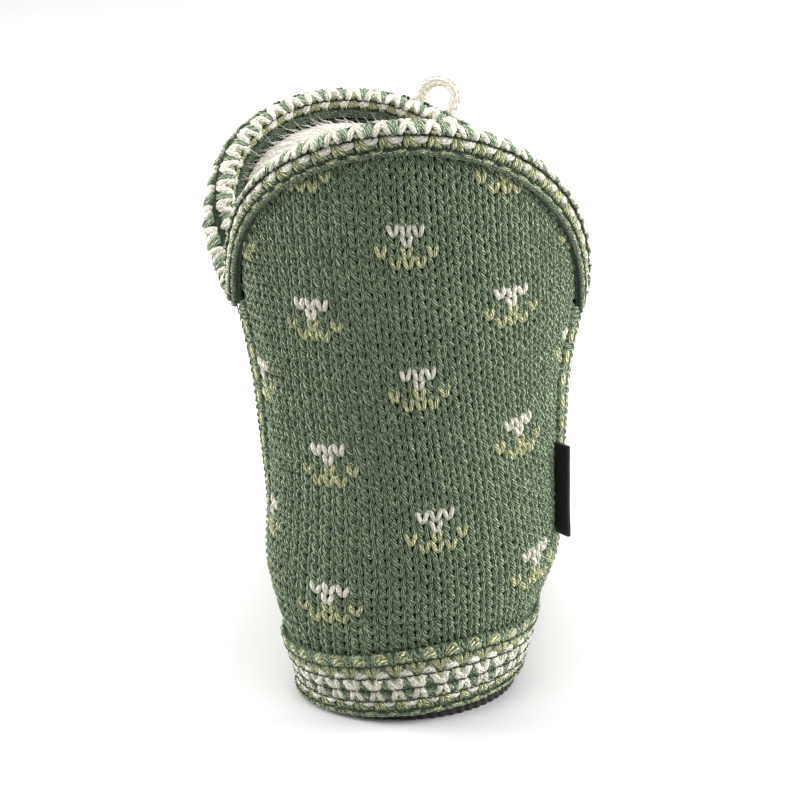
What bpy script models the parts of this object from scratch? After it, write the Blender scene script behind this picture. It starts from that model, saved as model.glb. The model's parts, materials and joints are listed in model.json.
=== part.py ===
"""Knitted bootie slipper for the right foot, standing empty and unbent on its sole.

The toe points along +Y, the outer side of the foot along +X, and +Z is up. The origin lies on the floor
under the middle of the heel seat. Sizes are in millimetres and become metres where a mesh is made.
"""

import math
from collections import namedtuple

import bpy
import numpy as np

MM = 0.001

# Driving sizes of the shoe
SOLE_LENGTH = 250.0
BALL_WIDTH = 92.0
HEEL_BACK = 34.0
OUTSOLE_THICKNESS = 6.0
INSOLE_THICKNESS = 5.0
WALL = 3.0
GAP = 0.3

# The collar has a tab behind and one in front, and a dip over each side seam
BACK_TAB = 171.6
FRONT_TAB = 172.8
BACK_CREST_SHIFT = 0.03
FRONT_CREST_SHIFT = 0.15
OUTER_DIP = 112.0
INNER_DIP = 117.5
BACK_FULLNESS = 0.215
FRONT_FULLNESS = 0.46
DIP_ROUNDING = 0.13

# Knitted tape: it binds the collar, runs down the side seams and goes round the joint with the sole
TAPE_WIDTH = 17.0
TAPE_THICKNESS = 2.4
TAPE_EDGE_SHARE = 0.55
BINDING_LEG = 5.7
BINDING_RISE = 1.6
OUTER_DIP_BULGE = 0.8
INNER_DIP_BULGE = 2.6
DIP_REACH = 0.16
DIP_DENSITY = 3.0
BAND_HEIGHT = 17.0
BAND_HEEL_RISE = 3.4
BAND_HEEL_AT = 0.22
BAND_HEEL_SPREAD = 0.45
BAND_LOW_EDGE = 2.8
BAND_TILT = 0.07
BAND_TILT_END = 70.0

# Pull loop on the front tab
LOOP_CORD = 4.4
LOOP_WIDTH = 13.8
LOOP_STAND = 9.8
LOOP_ROOT = 14.0
LOOP_STEP_IN = 5.0
LOOP_SIDE = 10.0

# Folded label in the outer side seam
LABEL_BOTTOM = 46.0
LABEL_HEIGHT = 27.0
LABEL_DEPTH = 6.5
LABEL_THICKNESS = 1.3
LABEL_BACK_OF_SEAM = 10.8
LABEL_TURN = 55.0

# Underside and ribbed side of the outsole
ARCH_RISE = 1.4
ARCH_FROM = 0.30
ARCH_TO = 0.52
SPRING_LEVEL = 0.9
RIBS_PER_QUARTER = (16, 72)
RIB_DEPTH = 0.7
RIB_HEIGHT = 3.4

# Mesh steps: points in each back and front quarter of the way round, rows up the wall, and the finer net
# that the surface is read from
ROUND_WALL = (14, 22)
TOE_CROWDING = 0.4
MIDDLE_ROWS = 11
TAPE_ROWS = 12
LOOP_SIDES = 10
LOOP_LEG_STEPS = 7
LOOP_BEND_STEPS = 11
NET_STEP = 2.0
NET_QUARTER = 60
OUTLINE_SAMPLES = 241

# Where the side seams pass every ring, measured forward from the origin
SEAM_Y = 6.0

# The slack shaft leans this far towards the outer side at the top, and not at all up to LEAN_FROM. Further
# forward than LEAN_KEEPS_TO, the lean fades out over LEAN_FADES_OVER
SHAFT_LEAN = 3.4
LEAN_FROM = 20.0
LEAN_KEEPS_TO = 60.0
LEAN_FADES_OVER = 110.0

# Clearance of the insole from the wall
INSOLE_CLEARANCE = 0.7

# Rings of the upper's outer face, from the sole to the collar. height and front_height are where the ring
# passes the back and the front. back is how far it stands out behind the heel line. reach is its front end
# as a share of the sole's length, and toe_in moves that end towards the inner side. The half widths are
# shares of the ball width, on the outer (_out) and the inner (_in) side. heel_round and toe_round are the
# lengths over which the ends close, and lift says how late the ring rises towards its front.
Section = namedtuple(
    "Section",
    "height back front_height reach toe_in heel_out heel_in waist_out waist_in ball_out ball_in"
    " heel_round toe_round lift",
)
SECTIONS = (
    Section(6.3, -2.6, 13.3, 0.974, 10, 0.330, 0.343, 0.370, 0.312, 0.425, 0.460, 31, 62, 7.0),
    Section(24.0, 0.4, 31.0, 0.982, 10, 0.391, 0.399, 0.415, 0.365, 0.450, 0.485, 34, 62, 4.0),
    Section(40.0, 3.2, 46.5, 0.945, 8, 0.456, 0.432, 0.447, 0.404, 0.435, 0.445, 38, 62, 2.0),
    Section(56.0, 4.0, 60.0, 0.800, 6, 0.462, 0.420, 0.458, 0.412, 0.405, 0.410, 40, 60, 1.4),
    Section(74.0, 3.4, 74.0, 0.605, 4, 0.468, 0.425, 0.468, 0.425, 0.405, 0.390, 42, 54, 1.0),
    Section(92.0, 3.4, 94.5, 0.448, 2, 0.482, 0.441, 0.484, 0.443, 0.455, 0.428, 45, 48, 1.0),
    Section(112.0, 5.5, 117.0, 0.362, 1, 0.528, 0.471, 0.532, 0.478, 0.520, 0.525, 48, 46, 1.0),
    Section(135.0, 8.5, 136.0, 0.342, 3, 0.544, 0.504, 0.556, 0.506, 0.545, 0.612, 49, 46, 1.0),
    Section(155.0, 10.0, 151.0, 0.345, 6, 0.550, 0.515, 0.560, 0.515, 0.525, 0.642, 50, 46, 1.0),
    Section(180.0, 11.0, 168.0, 0.350, 8, 0.545, 0.510, 0.550, 0.507, 0.520, 0.642, 51, 46, 1.0),
)
BASE = SECTIONS[0].height

# Colours as linear red, green and blue, with roughness
FINISHES = {
    "outsole": ((0.035, 0.031, 0.029), 0.75),
    "insole": ((0.62, 0.55, 0.46), 0.95),
    "upper": ((0.115, 0.175, 0.110), 0.95),
    "tape": ((0.36, 0.40, 0.27), 0.95),
    "loop": ((0.78, 0.72, 0.62), 0.90),
    "label": ((0.012, 0.012, 0.013), 0.70),
}


def ease(t):
    """0 to 1 with level ends."""
    t = np.clip(t, 0.0, 1.0)
    return t * t * (3.0 - 2.0 * t)


def section_at(height):
    """The ring's sizes at any height, on a smooth curve through the rows of SECTIONS."""
    rows = np.array(SECTIONS, float)
    knots = rows[:, 0]
    slopes = np.gradient(rows, knots, axis=0)
    low = int(np.clip(np.searchsorted(knots, height) - 1, 0, len(knots) - 2))
    span = knots[low + 1] - knots[low]
    t = (height - knots[low]) / span
    start = rows[low] * (1 + 2 * t) + span * slopes[low] * t
    end = rows[low + 1] * (3 - 2 * t) - span * slopes[low + 1] * (1 - t)
    return Section(*(start * (1 - t) ** 2 + end * t * t))


def half_outline(size, side):
    """One side of a ring (1 outer, -1 inner), from its back to its front, as an array of points."""
    t = (1.0 - np.cos(np.linspace(0.0, math.pi, OUTLINE_SAMPLES))) / 2.0
    heel, waist, ball = (size.heel_out, size.waist_out, size.ball_out)
    if side < 0:
        heel, waist, ball = (size.heel_in, size.waist_in, size.ball_in)
    back = -HEEL_BACK - size.back
    length = size.reach * SOLE_LENGTH - HEEL_BACK - back
    width = heel + (waist - heel) * ease((t - 0.12) / 0.28) + (ball - waist) * ease((t - 0.40) / 0.30)
    from_back = np.clip(t * length / size.heel_round, 0.0, 1.0)
    from_front = np.clip((1.0 - t) * length / size.toe_round, 0.0, 1.0)
    closing = np.sqrt((1.0 - (1.0 - from_back) ** 2) * (1.0 - (1.0 - from_front) ** 2))
    lean = SHAFT_LEAN * max(size.height - LEAN_FROM, 0.0) / (BACK_TAB - LEAN_FROM)
    leaning = 1.0 - ease((t * size.reach * SOLE_LENGTH - LEAN_KEEPS_TO) / LEAN_FADES_OVER)
    x = side * BALL_WIDTH * width * closing + lean * leaning - size.toe_in * ease((t - 0.35) / 0.65)
    z = size.height + (size.front_height - size.height) * t**size.lift
    return np.column_stack([x, back + t * length, z])


def spread(points, start, end):
    """NET_QUARTER + 1 points at even steps along a polyline, between two values of y."""
    step = np.linalg.norm(np.diff(points, axis=0), axis=1)
    along = np.concatenate([[0.0], np.cumsum(step)])
    low, high = np.interp([start, end], points[:, 1], along)
    stops = np.linspace(low, high, NET_QUARTER + 1)
    return np.column_stack([np.interp(stops, along, column) for column in points.T])


def ring(height):
    """A closed ring of NET_QUARTER points in each quarter: back, outer seam, front, inner seam."""
    size = section_at(height)
    outer = half_outline(size, 1)
    inner = half_outline(size, -1)
    outer_back = spread(outer, outer[0, 1], SEAM_Y)
    outer_front = spread(outer, SEAM_Y, outer[-1, 1])
    inner_front = spread(inner, SEAM_Y, inner[-1, 1])
    inner_back = spread(inner, inner[0, 1], SEAM_Y)
    return np.concatenate([outer_back[:-1], outer_front[:-1], inner_front[:0:-1], inner_back[:0:-1]])


NET_HEIGHTS = np.arange(BASE, SECTIONS[-1].height + 3 * NET_STEP, NET_STEP)
NET = np.array([ring(height) for height in NET_HEIGHTS])


def surface(q, height):
    """Point of the upper's outer face. q goes round the shoe from the back (0) over the outer seam (1),
    the front (2) and the inner seam (3) to the back again (4), and height picks the ring. Below the
    lowest ring the face goes straight down."""
    q, height = np.broadcast_arrays(np.asarray(q, float), np.asarray(height, float))
    column = np.mod(q, 4.0) * NET_QUARTER
    row = np.clip((height - BASE) / NET_STEP, 0.0, len(NET) - 1.001)
    low_row = row.astype(int)
    low_column = column.astype(int) % (4 * NET_QUARTER)
    next_column = (low_column + 1) % (4 * NET_QUARTER)
    across = (column - np.floor(column))[..., None]
    up = (row - low_row)[..., None]
    lower = NET[low_row, low_column] * (1 - across) + NET[low_row, next_column] * across
    upper = NET[low_row + 1, low_column] * (1 - across) + NET[low_row + 1, next_column] * across
    point = lower * (1 - up) + upper * up
    point[..., 2] += np.minimum(height - BASE, 0.0)
    return point


def slopes_at(q, height):
    """How the surface moves with q and with height."""
    dq, dh = 0.02, 1.5
    above = height + dh
    below = np.maximum(height - dh, BASE)
    along = (surface(q + dq, height) - surface(q - dq, height)) / (2 * dq)
    up = (surface(q, above) - surface(q, below)) / (above - below)[..., None]
    return along, up


def offset(q, height, out):
    """The surface moved out along its normal (in, where out is negative)."""
    q, height, out = np.broadcast_arrays(q, np.asarray(height, float), np.asarray(out, float))
    along, up = slopes_at(q, np.maximum(height, BASE))
    normal = np.cross(along, up)
    normal /= np.linalg.norm(normal, axis=-1, keepdims=True)
    return surface(q, height) + normal * out[..., None]


def by_side(q, outer, inner):
    """A size that goes from its value at the outer seam to its value at the inner one."""
    return inner + (outer - inner) * (1.0 + np.sin(q * math.pi / 2)) / 2


def edge_height(q):
    """Height of the collar's edge: a tab behind and in front, and a tight dip at each side seam."""
    q = np.asarray(q, float)
    in_front = np.mod(q + 1.0, 4.0) >= 2.0
    crest = np.where(in_front, FRONT_CREST_SHIFT, -BACK_CREST_SHIFT) * np.cos(q * math.pi / 2)
    level = np.cos((q + crest) * math.pi / 2) ** 2
    round_off = DIP_ROUNDING**2
    fullness = np.where(in_front, FRONT_FULLNESS, BACK_FULLNESS)
    rise = (level + round_off) ** fullness - round_off**fullness
    full = (1 + round_off) ** fullness - round_off**fullness
    tab = np.where(in_front, FRONT_TAB, BACK_TAB)
    dip = by_side(q, OUTER_DIP, INNER_DIP)
    return dip + (tab - dip) * rise / full


def around(counts, crowding):
    """q of points all the way round, with one count for each back quarter and one for each front quarter.
    crowding brings the points of the front quarters closer together at the toes."""
    back, front = counts
    t_back = np.arange(back) / back
    t_front = np.arange(front) / front
    crowd = crowding * t_front * (1.0 - t_front)
    return np.concatenate([t_back, 1.0 + t_front + crowd, 2.0 + t_front - crowd, 3.0 + t_back])


def near_dip(q):
    """1 at the side seams, falling to 0 on either side of them."""
    return np.exp(-((np.abs(np.mod(q, 2.0) - 1.0) / DIP_REACH) ** 2))


def edge_positions(counts):
    """q of as many points along the collar's edge, where they stand closer together round the dips."""
    back, front = counts
    stops = []
    for quarter, count in enumerate((back, front, front, back)):
        fine = np.linspace(quarter, quarter + 1.0, 400)
        points = surface(fine, edge_height(fine))
        step = np.linalg.norm(np.diff(points, axis=0), axis=1) * (1.0 + DIP_DENSITY * near_dip(fine[1:]))
        along = np.concatenate([[0.0], np.cumsum(step)])
        stops.append(np.interp(along[-1] * np.arange(count) / count, along, fine))
    return np.concatenate(stops)


def below_edge(q, down):
    """q and height of the point that lies on the surface a distance down from the edge, square to it."""
    dq = 0.004
    tangent = np.stack([np.full_like(q, 2 * dq), edge_height(q + dq) - edge_height(q - dq)])
    along, up = slopes_at(q, edge_height(q))
    e = (along * along).sum(-1)
    f = (along * up).sum(-1)
    g = (up * up).sum(-1)
    turned = np.stack([f * tangent[0] + g * tangent[1], -(e * tangent[0] + f * tangent[1])])
    size = np.sqrt(e * turned[0] ** 2 + 2 * f * turned[0] * turned[1] + g * turned[1] ** 2)
    return q + down * turned[0] / size, edge_height(q) + down * turned[1] / size


def new_object(name, points, faces, finish):
    """A mesh object from points in millimetres, with its own material."""
    mesh = bpy.data.meshes.new(name)
    mesh.from_pydata([tuple(p) for p in np.asarray(points) * MM], [], faces)
    mesh.shade_smooth()
    mesh.set_sharp_from_angle(angle=math.radians(40))
    colour, roughness = FINISHES[finish]
    material = bpy.data.materials.new(name)
    material.use_nodes = True
    shader = material.node_tree.nodes["Principled BSDF"]
    shader.inputs["Base Color"].default_value = (*colour, 1.0)
    shader.inputs["Roughness"].default_value = roughness
    mesh.materials.append(material)
    obj = bpy.data.objects.new(name, mesh)
    bpy.context.scene.collection.objects.link(obj)
    return obj


def ladder(width, first):
    """Faces across a loop, from its first point on: each goes from two of its points to the two opposite."""
    faces = []
    for rung in range(width // 2):
        corners = (rung, rung + 1, (width - rung - 1) % width, (width - rung) % width)
        faces.append(tuple(first + corner for corner in dict.fromkeys(corners)))
    return faces


def skin(rows, ends):
    """Points and faces over a grid of rows, each a closed loop of points. ends is "joined" where the last
    row meets the first, "capped" where one face closes each end, or "runged" where a ladder of faces does,
    so that the end can be curved."""
    rows = np.array(rows)
    count, width = rows.shape[:2]
    points = rows.reshape(-1, 3)
    faces = []
    for row in range(count if ends == "joined" else count - 1):
        after = (row + 1) % count
        for column in range(width):
            right = (column + 1) % width
            faces.append(
                (row * width + column, row * width + right, after * width + right, after * width + column)
            )
    if ends == "capped":
        faces.append(tuple(reversed(range(width))))
        faces.append(tuple(range((count - 1) * width, count * width)))
    if ends == "runged":
        faces.extend(tuple(reversed(face)) for face in ladder(width, 0))
        faces.extend(ladder(width, (count - 1) * width))
    return points, faces


def upper_columns():
    """q and height of each point of the upper's outer face, as rows from the sole up to the collar."""
    even = around(ROUND_WALL, TOE_CROWDING)
    edge = edge_positions(ROUND_WALL)
    low = [(even, BASE + band_height(even) * share) for share in (0.0, 0.5, 1.0)]
    top_q, top_height = below_edge(edge, BINDING_LEG)
    middle = []
    for step in range(1, MIDDLE_ROWS):
        share = step / MIDDLE_ROWS
        q = even + (top_q - even) * ease(share)
        middle.append((q, low[-1][1] + (top_height - low[-1][1]) * share))
    high = [below_edge(edge, BINDING_LEG * share) for share in (1.0, 0.5, 0.0)]
    return low + middle + high


def make_upper():
    """Knitted foot and shaft in one wall, open at the collar and underneath."""
    outer = [offset(q, height, 0.0) for q, height in upper_columns()]
    inner = [offset(q, height, -WALL) for q, height in reversed(upper_columns())]
    inner[-1][:, 2] = outer[0][:, 2]
    return new_object("upper", *skin(outer + inner, "joined"), "upper")


def make_outsole():
    """Rubber sole: flat under heel and ball, a low arch between, toe spring, and ribs round its lower side.
    Every second point round it lies in the valley between two ribs."""
    q = around([2 * ribs for ribs in RIBS_PER_QUARTER], 0.0)
    valley = (np.arange(len(q)) % 2) * RIB_DEPTH
    top = offset(q, BASE, 0.0)
    top[:, 2] -= GAP
    share = (top[:, 1] - top[:, 1].min()) / SOLE_LENGTH
    arch = ARCH_RISE * np.sin(math.pi * np.clip((share - ARCH_FROM) / (ARCH_TO - ARCH_FROM), 0, 1)) ** 2
    inner_side = ease(0.5 - top[:, 0] / BALL_WIDTH)
    bottom = offset(q, BASE, -valley)
    bottom[:, 2] = np.maximum(top[:, 2] - OUTSOLE_THICKNESS - SPRING_LEVEL, 0.0) + arch * inner_side
    rib_tops = bottom.copy()
    rib_tops[:, 2] += RIB_HEIGHT
    ledge = top.copy()
    ledge[:, 2] = rib_tops[:, 2] + RIB_DEPTH
    return new_object("outsole", *skin([bottom, rib_tops, ledge, top], "runged"), "outsole")


def make_insole():
    """Padded inner sole, lying on the outsole inside the wall."""
    q = around(ROUND_WALL, TOE_CROWDING)
    heights = (BASE, BASE + INSOLE_THICKNESS / 2, BASE + INSOLE_THICKNESS)
    rows = [offset(q, height, -WALL - INSOLE_CLEARANCE) for height in heights]
    return new_object("insole", *skin(rows, "runged"), "insole")


def tape_section(width, shares):
    """Across a flat tape with sloping edges, as distances from its first edge and heights over the wall.
    The shares of the width say where its face and its back have points."""
    face = [(width * share, GAP + TAPE_THICKNESS) for share in shares]
    back = [(width * share, GAP) for share in reversed(shares)]
    return [(0.0, GAP), *face, (width, GAP), *back]


def band_low_edge(q):
    """Height of the sole band's lower edge."""
    base = surface(q, BASE)
    return BAND_LOW_EDGE + BAND_TILT * base[..., 0] * (1 - ease(base[..., 1] / BAND_TILT_END))


def band_height(q):
    """Height of the sole band, which is taller behind the heel."""
    from_heel = np.mod(q + 2.0, 4.0) - 2.0 - BAND_HEEL_AT
    return BAND_HEIGHT + BAND_HEEL_RISE * np.exp(-((from_heel / BAND_HEEL_SPREAD) ** 2))


def make_sole_band():
    """Tape round the joint between upper and outsole. At the heel it sits lower on the inner side."""
    q = around(ROUND_WALL, TOE_CROWDING)
    section = tape_section(1.0, (0.1, 0.5, 0.9))
    loops = [offset(q, band_low_edge(q) + band_height(q) * across, out) for across, out in section]
    return new_object("sole_band", *skin(loops, "joined"), "tape")


def make_collar_binding():
    """Tape folded over the collar's edge, half of it outside and half inside."""
    q = edge_positions(ROUND_WALL)
    thick = GAP + TAPE_THICKNESS
    bulge = by_side(q, OUTER_DIP_BULGE, INNER_DIP_BULGE) * near_dip(q)
    edge = GAP + TAPE_THICKNESS * TAPE_EDGE_SHARE
    shoulder = 0.75 * BINDING_LEG
    fold = (
        (BINDING_LEG, GAP),
        (BINDING_LEG, edge),
        (shoulder, thick + bulge),
        (0.0, thick + bulge * 0.7),
        (-BINDING_RISE, thick * 0.3 - WALL * 0.1),
        (-BINDING_RISE, -WALL - thick * 0.3 + WALL * 0.1),
        (0.0, -WALL - thick),
        (shoulder, -WALL - thick),
        (BINDING_LEG, -WALL - edge),
        (BINDING_LEG, -WALL - GAP),
        (-GAP, -WALL - GAP),
        (-GAP, GAP),
    )
    loops = [offset(*below_edge(q, down), out) for down, out in fold]
    return new_object("collar_binding", *skin(loops, "joined"), "tape")


def seam_position(seam, height, forward):
    """q of a point that lies forward of a side seam (back, where negative) along its ring."""
    away = 1 if seam == 1 else -1
    ahead = np.linalg.norm(surface(seam + away * 0.05, height) - surface(seam, height), axis=-1) / 0.05
    behind = np.linalg.norm(surface(seam - away * 0.05, height) - surface(seam, height), axis=-1) / 0.05
    return seam + away * np.where(forward > 0, forward / ahead, forward / behind)


def under_binding(seam, forward):
    """Height just under the binding's lower edge, at a distance forward of a side seam."""
    leg_q, leg_height = below_edge(np.linspace(0.0, 4.0, 1601), BINDING_LEG + 3 * GAP)
    height = np.array(OUTER_DIP)
    for _ in range(6):
        height = np.interp(seam_position(seam, height, forward), leg_q, leg_height)
    return height


def make_side_tape(name, seam):
    """Tape down a side seam, from the collar's dip to the band round the sole."""
    section = tape_section(TAPE_WIDTH, (0.1, 0.3, 0.5, 0.7, 0.9))
    rows = []
    for share in np.linspace(0.0, 1.0, TAPE_ROWS + 1):
        row = []
        for across, out in section:
            forward = np.array(across - TAPE_WIDTH / 2)
            at_base = seam_position(seam, np.array(BASE), forward)
            bottom = band_low_edge(at_base) + band_height(at_base) + 2 * GAP
            top = under_binding(seam, forward)
            height = bottom + (top - bottom) * share
            row.append(offset(seam_position(seam, height, forward), height, out))
        rows.append(row if seam == 1 else [row[0], *row[:0:-1]])
    return new_object(name, *skin(rows, "runged"), "tape")


def make_pull_loop():
    """Round cord loop on the outside of the front tab, a finger's hold for pulling the shoe on. Its ends
    run down over the binding and are sewn to the wall below it."""
    fine = np.linspace(1.5, 2.5, 201)
    edge = surface(fine, edge_height(fine))
    radius = (LOOP_WIDTH - LOOP_CORD) / 2
    over_binding = 2 * GAP + TAPE_THICKNESS
    downs = np.linspace(LOOP_ROOT, 0.0, LOOP_LEG_STEPS)
    out = GAP + LOOP_CORD / 2 + over_binding * (1.0 - ease((downs - BINDING_LEG) / LOOP_STEP_IN))
    legs = []
    for x in (LOOP_SIDE + radius, LOOP_SIDE - radius):
        q = np.full(len(downs), np.interp(-x, -edge[:, 0], fine))
        legs.append(offset(*below_edge(q, downs), out))
    ends = np.array([legs[0][-1], legs[1][-1]])
    up = ends.mean(axis=0) - np.array([legs[0][-2], legs[1][-2]]).mean(axis=0)
    side = (ends[0] - ends[1]) / 2
    up /= np.linalg.norm(up)
    radius = np.linalg.norm(side)
    top = ends.mean(axis=0) + up * (LOOP_STAND - radius)
    bends = np.linspace(0.0, math.pi, LOOP_BEND_STEPS)
    arch = [top + side * math.cos(bend) + up * radius * math.sin(bend) for bend in bends]
    path = np.concatenate([legs[0], arch, legs[1][::-1]])
    facing = np.cross(up, side)
    turns = np.arange(LOOP_SIDES)[:, None] * 2 * math.pi / LOOP_SIDES
    rows = []
    for index, point in enumerate(path):
        ahead = path[min(index + 1, len(path) - 1)] - path[max(index - 1, 0)]
        sideways = np.cross(ahead, facing)
        sideways /= np.linalg.norm(sideways)
        outwards = np.cross(sideways, ahead)
        outwards /= np.linalg.norm(outwards)
        rows.append(point + (outwards * np.cos(turns) + sideways * np.sin(turns)) * LOOP_CORD / 2)
    return new_object("pull_loop", *skin(rows, "capped"), "loop")


def make_side_label():
    """Bare folded label, held in the outer side seam along the tape's back edge."""
    rows = []
    for height in LABEL_BOTTOM + LABEL_HEIGHT * np.linspace(0.0, 1.0, 5):
        q = seam_position(1, np.array(height), np.array(-LABEL_BACK_OF_SEAM))
        root = offset(q, height, GAP + 0.5)
        turn = math.radians(LABEL_TURN)
        out = np.array([math.cos(turn), -math.sin(turn), 0.0])
        across = np.array([math.sin(turn), math.cos(turn), 0.0]) * LABEL_THICKNESS / 2
        tip = LABEL_THICKNESS / 2
        rows.append(
            [
                root - across,
                root + out * (LABEL_DEPTH - tip) - across,
                root + out * LABEL_DEPTH,
                root + out * (LABEL_DEPTH - tip) + across,
                root + across,
            ]
        )
    return new_object("side_label", *skin(rows, "capped"), "label")


def main():
    for obj in list(bpy.data.objects):
        bpy.data.objects.remove(obj)
    shoe = bpy.data.objects.new("bootie_slipper", None)
    bpy.context.scene.collection.objects.link(shoe)
    pieces = (
        make_outsole(),
        make_insole(),
        make_upper(),
        make_sole_band(),
        make_collar_binding(),
        make_side_tape("side_tape_outer", 1),
        make_side_tape("side_tape_inner", 3),
        make_pull_loop(),
        make_side_label(),
    )
    for piece in pieces:
        piece.parent = shoe


main()
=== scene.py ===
# %% [markdown]
# # A knitted bootie slipper, dressed over its CAD frame
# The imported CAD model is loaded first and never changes: it is the size and the place of every piece. Each
# cell below makes one piece of the real slipper over the solid that stands for it, and hides that solid.
# Sizes are written in millimetres, as a shoemaker would, and become metres where a mesh is made.

import json
import math
from collections import namedtuple

import bpy
import numpy as np
from mathutils import Matrix

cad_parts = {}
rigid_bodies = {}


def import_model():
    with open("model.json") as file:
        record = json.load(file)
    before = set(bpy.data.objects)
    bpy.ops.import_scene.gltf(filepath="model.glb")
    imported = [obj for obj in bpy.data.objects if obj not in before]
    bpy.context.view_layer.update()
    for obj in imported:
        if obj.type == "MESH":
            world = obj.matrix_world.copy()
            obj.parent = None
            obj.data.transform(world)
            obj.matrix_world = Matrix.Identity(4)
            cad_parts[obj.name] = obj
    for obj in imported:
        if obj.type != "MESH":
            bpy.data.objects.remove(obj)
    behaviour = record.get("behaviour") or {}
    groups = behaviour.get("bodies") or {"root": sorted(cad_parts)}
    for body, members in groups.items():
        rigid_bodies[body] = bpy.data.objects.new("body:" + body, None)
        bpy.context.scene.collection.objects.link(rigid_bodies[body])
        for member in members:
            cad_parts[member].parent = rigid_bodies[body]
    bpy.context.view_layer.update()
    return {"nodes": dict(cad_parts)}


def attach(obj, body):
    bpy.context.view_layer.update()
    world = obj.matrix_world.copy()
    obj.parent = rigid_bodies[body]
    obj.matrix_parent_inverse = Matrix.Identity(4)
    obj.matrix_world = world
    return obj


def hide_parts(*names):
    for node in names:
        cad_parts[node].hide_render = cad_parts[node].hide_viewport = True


for startup in list(bpy.data.objects):
    bpy.data.objects.remove(startup)
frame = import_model()
print("CAD nodes:", sorted(frame["nodes"]))

# %% [markdown]
# ## Camera
# A camera is placed as a photographer does it: an aim point on the shoe, a distance, and the angles round
# it. The three axes of the camera's matrix are built from those angles, and the last turn is the small roll
# of the picture. The lens is long and far away, so the shoe is seen with little perspective.

# %% Camera
AIM = np.array([0.0, -0.034, 0.085])
AIM_DISTANCE = 0.700
ELEVATION, YAW, ROLL = math.radians(18.0), math.radians(3.0), math.radians(-2.7)
SENSOR, LENS = 36.0, 115.92
PICTURE, SHIFT_RIGHT, SHIFT_UP = 800, 5, 38


def unit(vectors):
    """The same directions with length 1."""
    return vectors / np.maximum(np.linalg.norm(vectors, axis=-1, keepdims=True), 1e-9)


def stand(obj, right, up, back, place):
    """Puts a camera or a lamp at a place, with its axes along three directions."""
    matrix = np.eye(4)
    matrix[:3, :3] = np.column_stack([right, up, back])
    matrix[:3, 3] = place
    obj.matrix_world = Matrix(matrix.tolist())
    bpy.context.scene.collection.objects.link(obj)


level = math.cos(ELEVATION)
back = np.array([math.sin(YAW) * level, -math.cos(YAW) * level, math.sin(ELEVATION)])
right = unit(np.cross(-back, [0.0, 0.0, 1.0]))
up = np.cross(right, -back)
turn, lift = math.cos(ROLL), math.sin(ROLL)
camera_data = bpy.data.cameras.new("camera")
camera_data.sensor_width, camera_data.lens = SENSOR, LENS
camera_data.shift_x, camera_data.shift_y = SHIFT_RIGHT / PICTURE, SHIFT_UP / PICTURE
camera_data.clip_start = 0.01
camera = bpy.data.objects.new("camera", camera_data)
stand(camera, right * turn + up * lift, up * turn - right * lift, back, AIM + AIM_DISTANCE * back)
bpy.context.scene.camera = camera
print("camera stands at", np.round(AIM + AIM_DISTANCE * back, 3))

# %% [markdown]
# ## Floor and light
# The slipper stands on a table that shows white, under soft light. One big quad is enough for the floor,
# because nothing of it shows but its tone: the paint is a mid grey, and a wide lamp lights it up to white, so
# the sole's soft shadow still shows on it. Four smaller lamps model the shoe, and a white world fills the
# dark sides, as white walls do in a studio.

# %% Floor and light
FLOOR_GREY = 0.55
WORLD_STRENGTH = 0.48
SHOE, TABLE, COLLAR = (0, 0, 0.08), (0, 0.6, 0.0), (0, 0, 0.10)
LAMPS = (
    # name, place and aim in metres, side of the lamp in metres, power in watts
    ("key", (0.75, -0.80, 0.9), SHOE, 0.7, 9),
    ("table", (0.1, 1.0, 1.8), TABLE, 2.2, 58),
    ("side_right", (1.0, 0.05, 0.40), SHOE, 0.5, 15),
    ("over", (-0.15, -0.30, 1.40), COLLAR, 0.5, 5),
    ("rim_left", (-1.0, 0.30, 0.35), SHOE, 0.5, 20),
)


def new_material(name, sockets):
    """A material, its node tree and its Principled shader, whose sockets are set by name."""
    material = bpy.data.materials.new(name)
    material.use_nodes = True
    shader = material.node_tree.nodes["Principled BSDF"]
    for socket, value in sockets.items():
        shader.inputs[socket].default_value = value
    return material, material.node_tree, shader


floor_mesh = bpy.data.meshes.new("floor")
floor_mesh.from_pydata([(-4, -3, 0), (4, -3, 0), (4, 9, 0), (-4, 9, 0)], [], [(0, 1, 2, 3)])
paint = {"Base Color": (FLOOR_GREY,) * 3 + (1,), "Roughness": 0.6, "Specular IOR Level": 0.2}
floor_mesh.materials.append(new_material("white_table", paint)[0])
floor = bpy.data.objects.new("floor", floor_mesh)
bpy.context.scene.collection.objects.link(floor)

world = bpy.data.worlds.new("white_room")
world.use_nodes = True
world.node_tree.nodes["Background"].inputs["Color"].default_value = (1, 1, 1, 1)
world.node_tree.nodes["Background"].inputs["Strength"].default_value = WORLD_STRENGTH
bpy.context.scene.world = world
for name, place, aim, size, power in LAMPS:
    lamp = bpy.data.lights.new(name, "AREA")
    lamp.size, lamp.energy = size, power
    away = unit(np.subtract(place, aim))
    side = unit(np.cross([0.0, 1.0, 0.2], away))
    stand(bpy.data.objects.new(name, lamp), side, np.cross(away, side), away, place)
bpy.context.scene.view_settings.view_transform = "Standard"
print("lamps:", [name for name, *_ in LAMPS])

# %% [markdown]
# ## The shape of the upper
# The upper is a stack of rings, each with its own length, width and roundness, and a smooth curve through
# the rows of the table gives the ring at any height. Every knitted row, tape and hem is then placed on this
# one surface by two numbers: q, which goes round the shoe from the back (0) over the outer seam (1), the
# front (2) and the inner seam (3), and the height of the ring. The CAD model follows the same rule, so
# the pieces land on their solids with no fitting.

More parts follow.
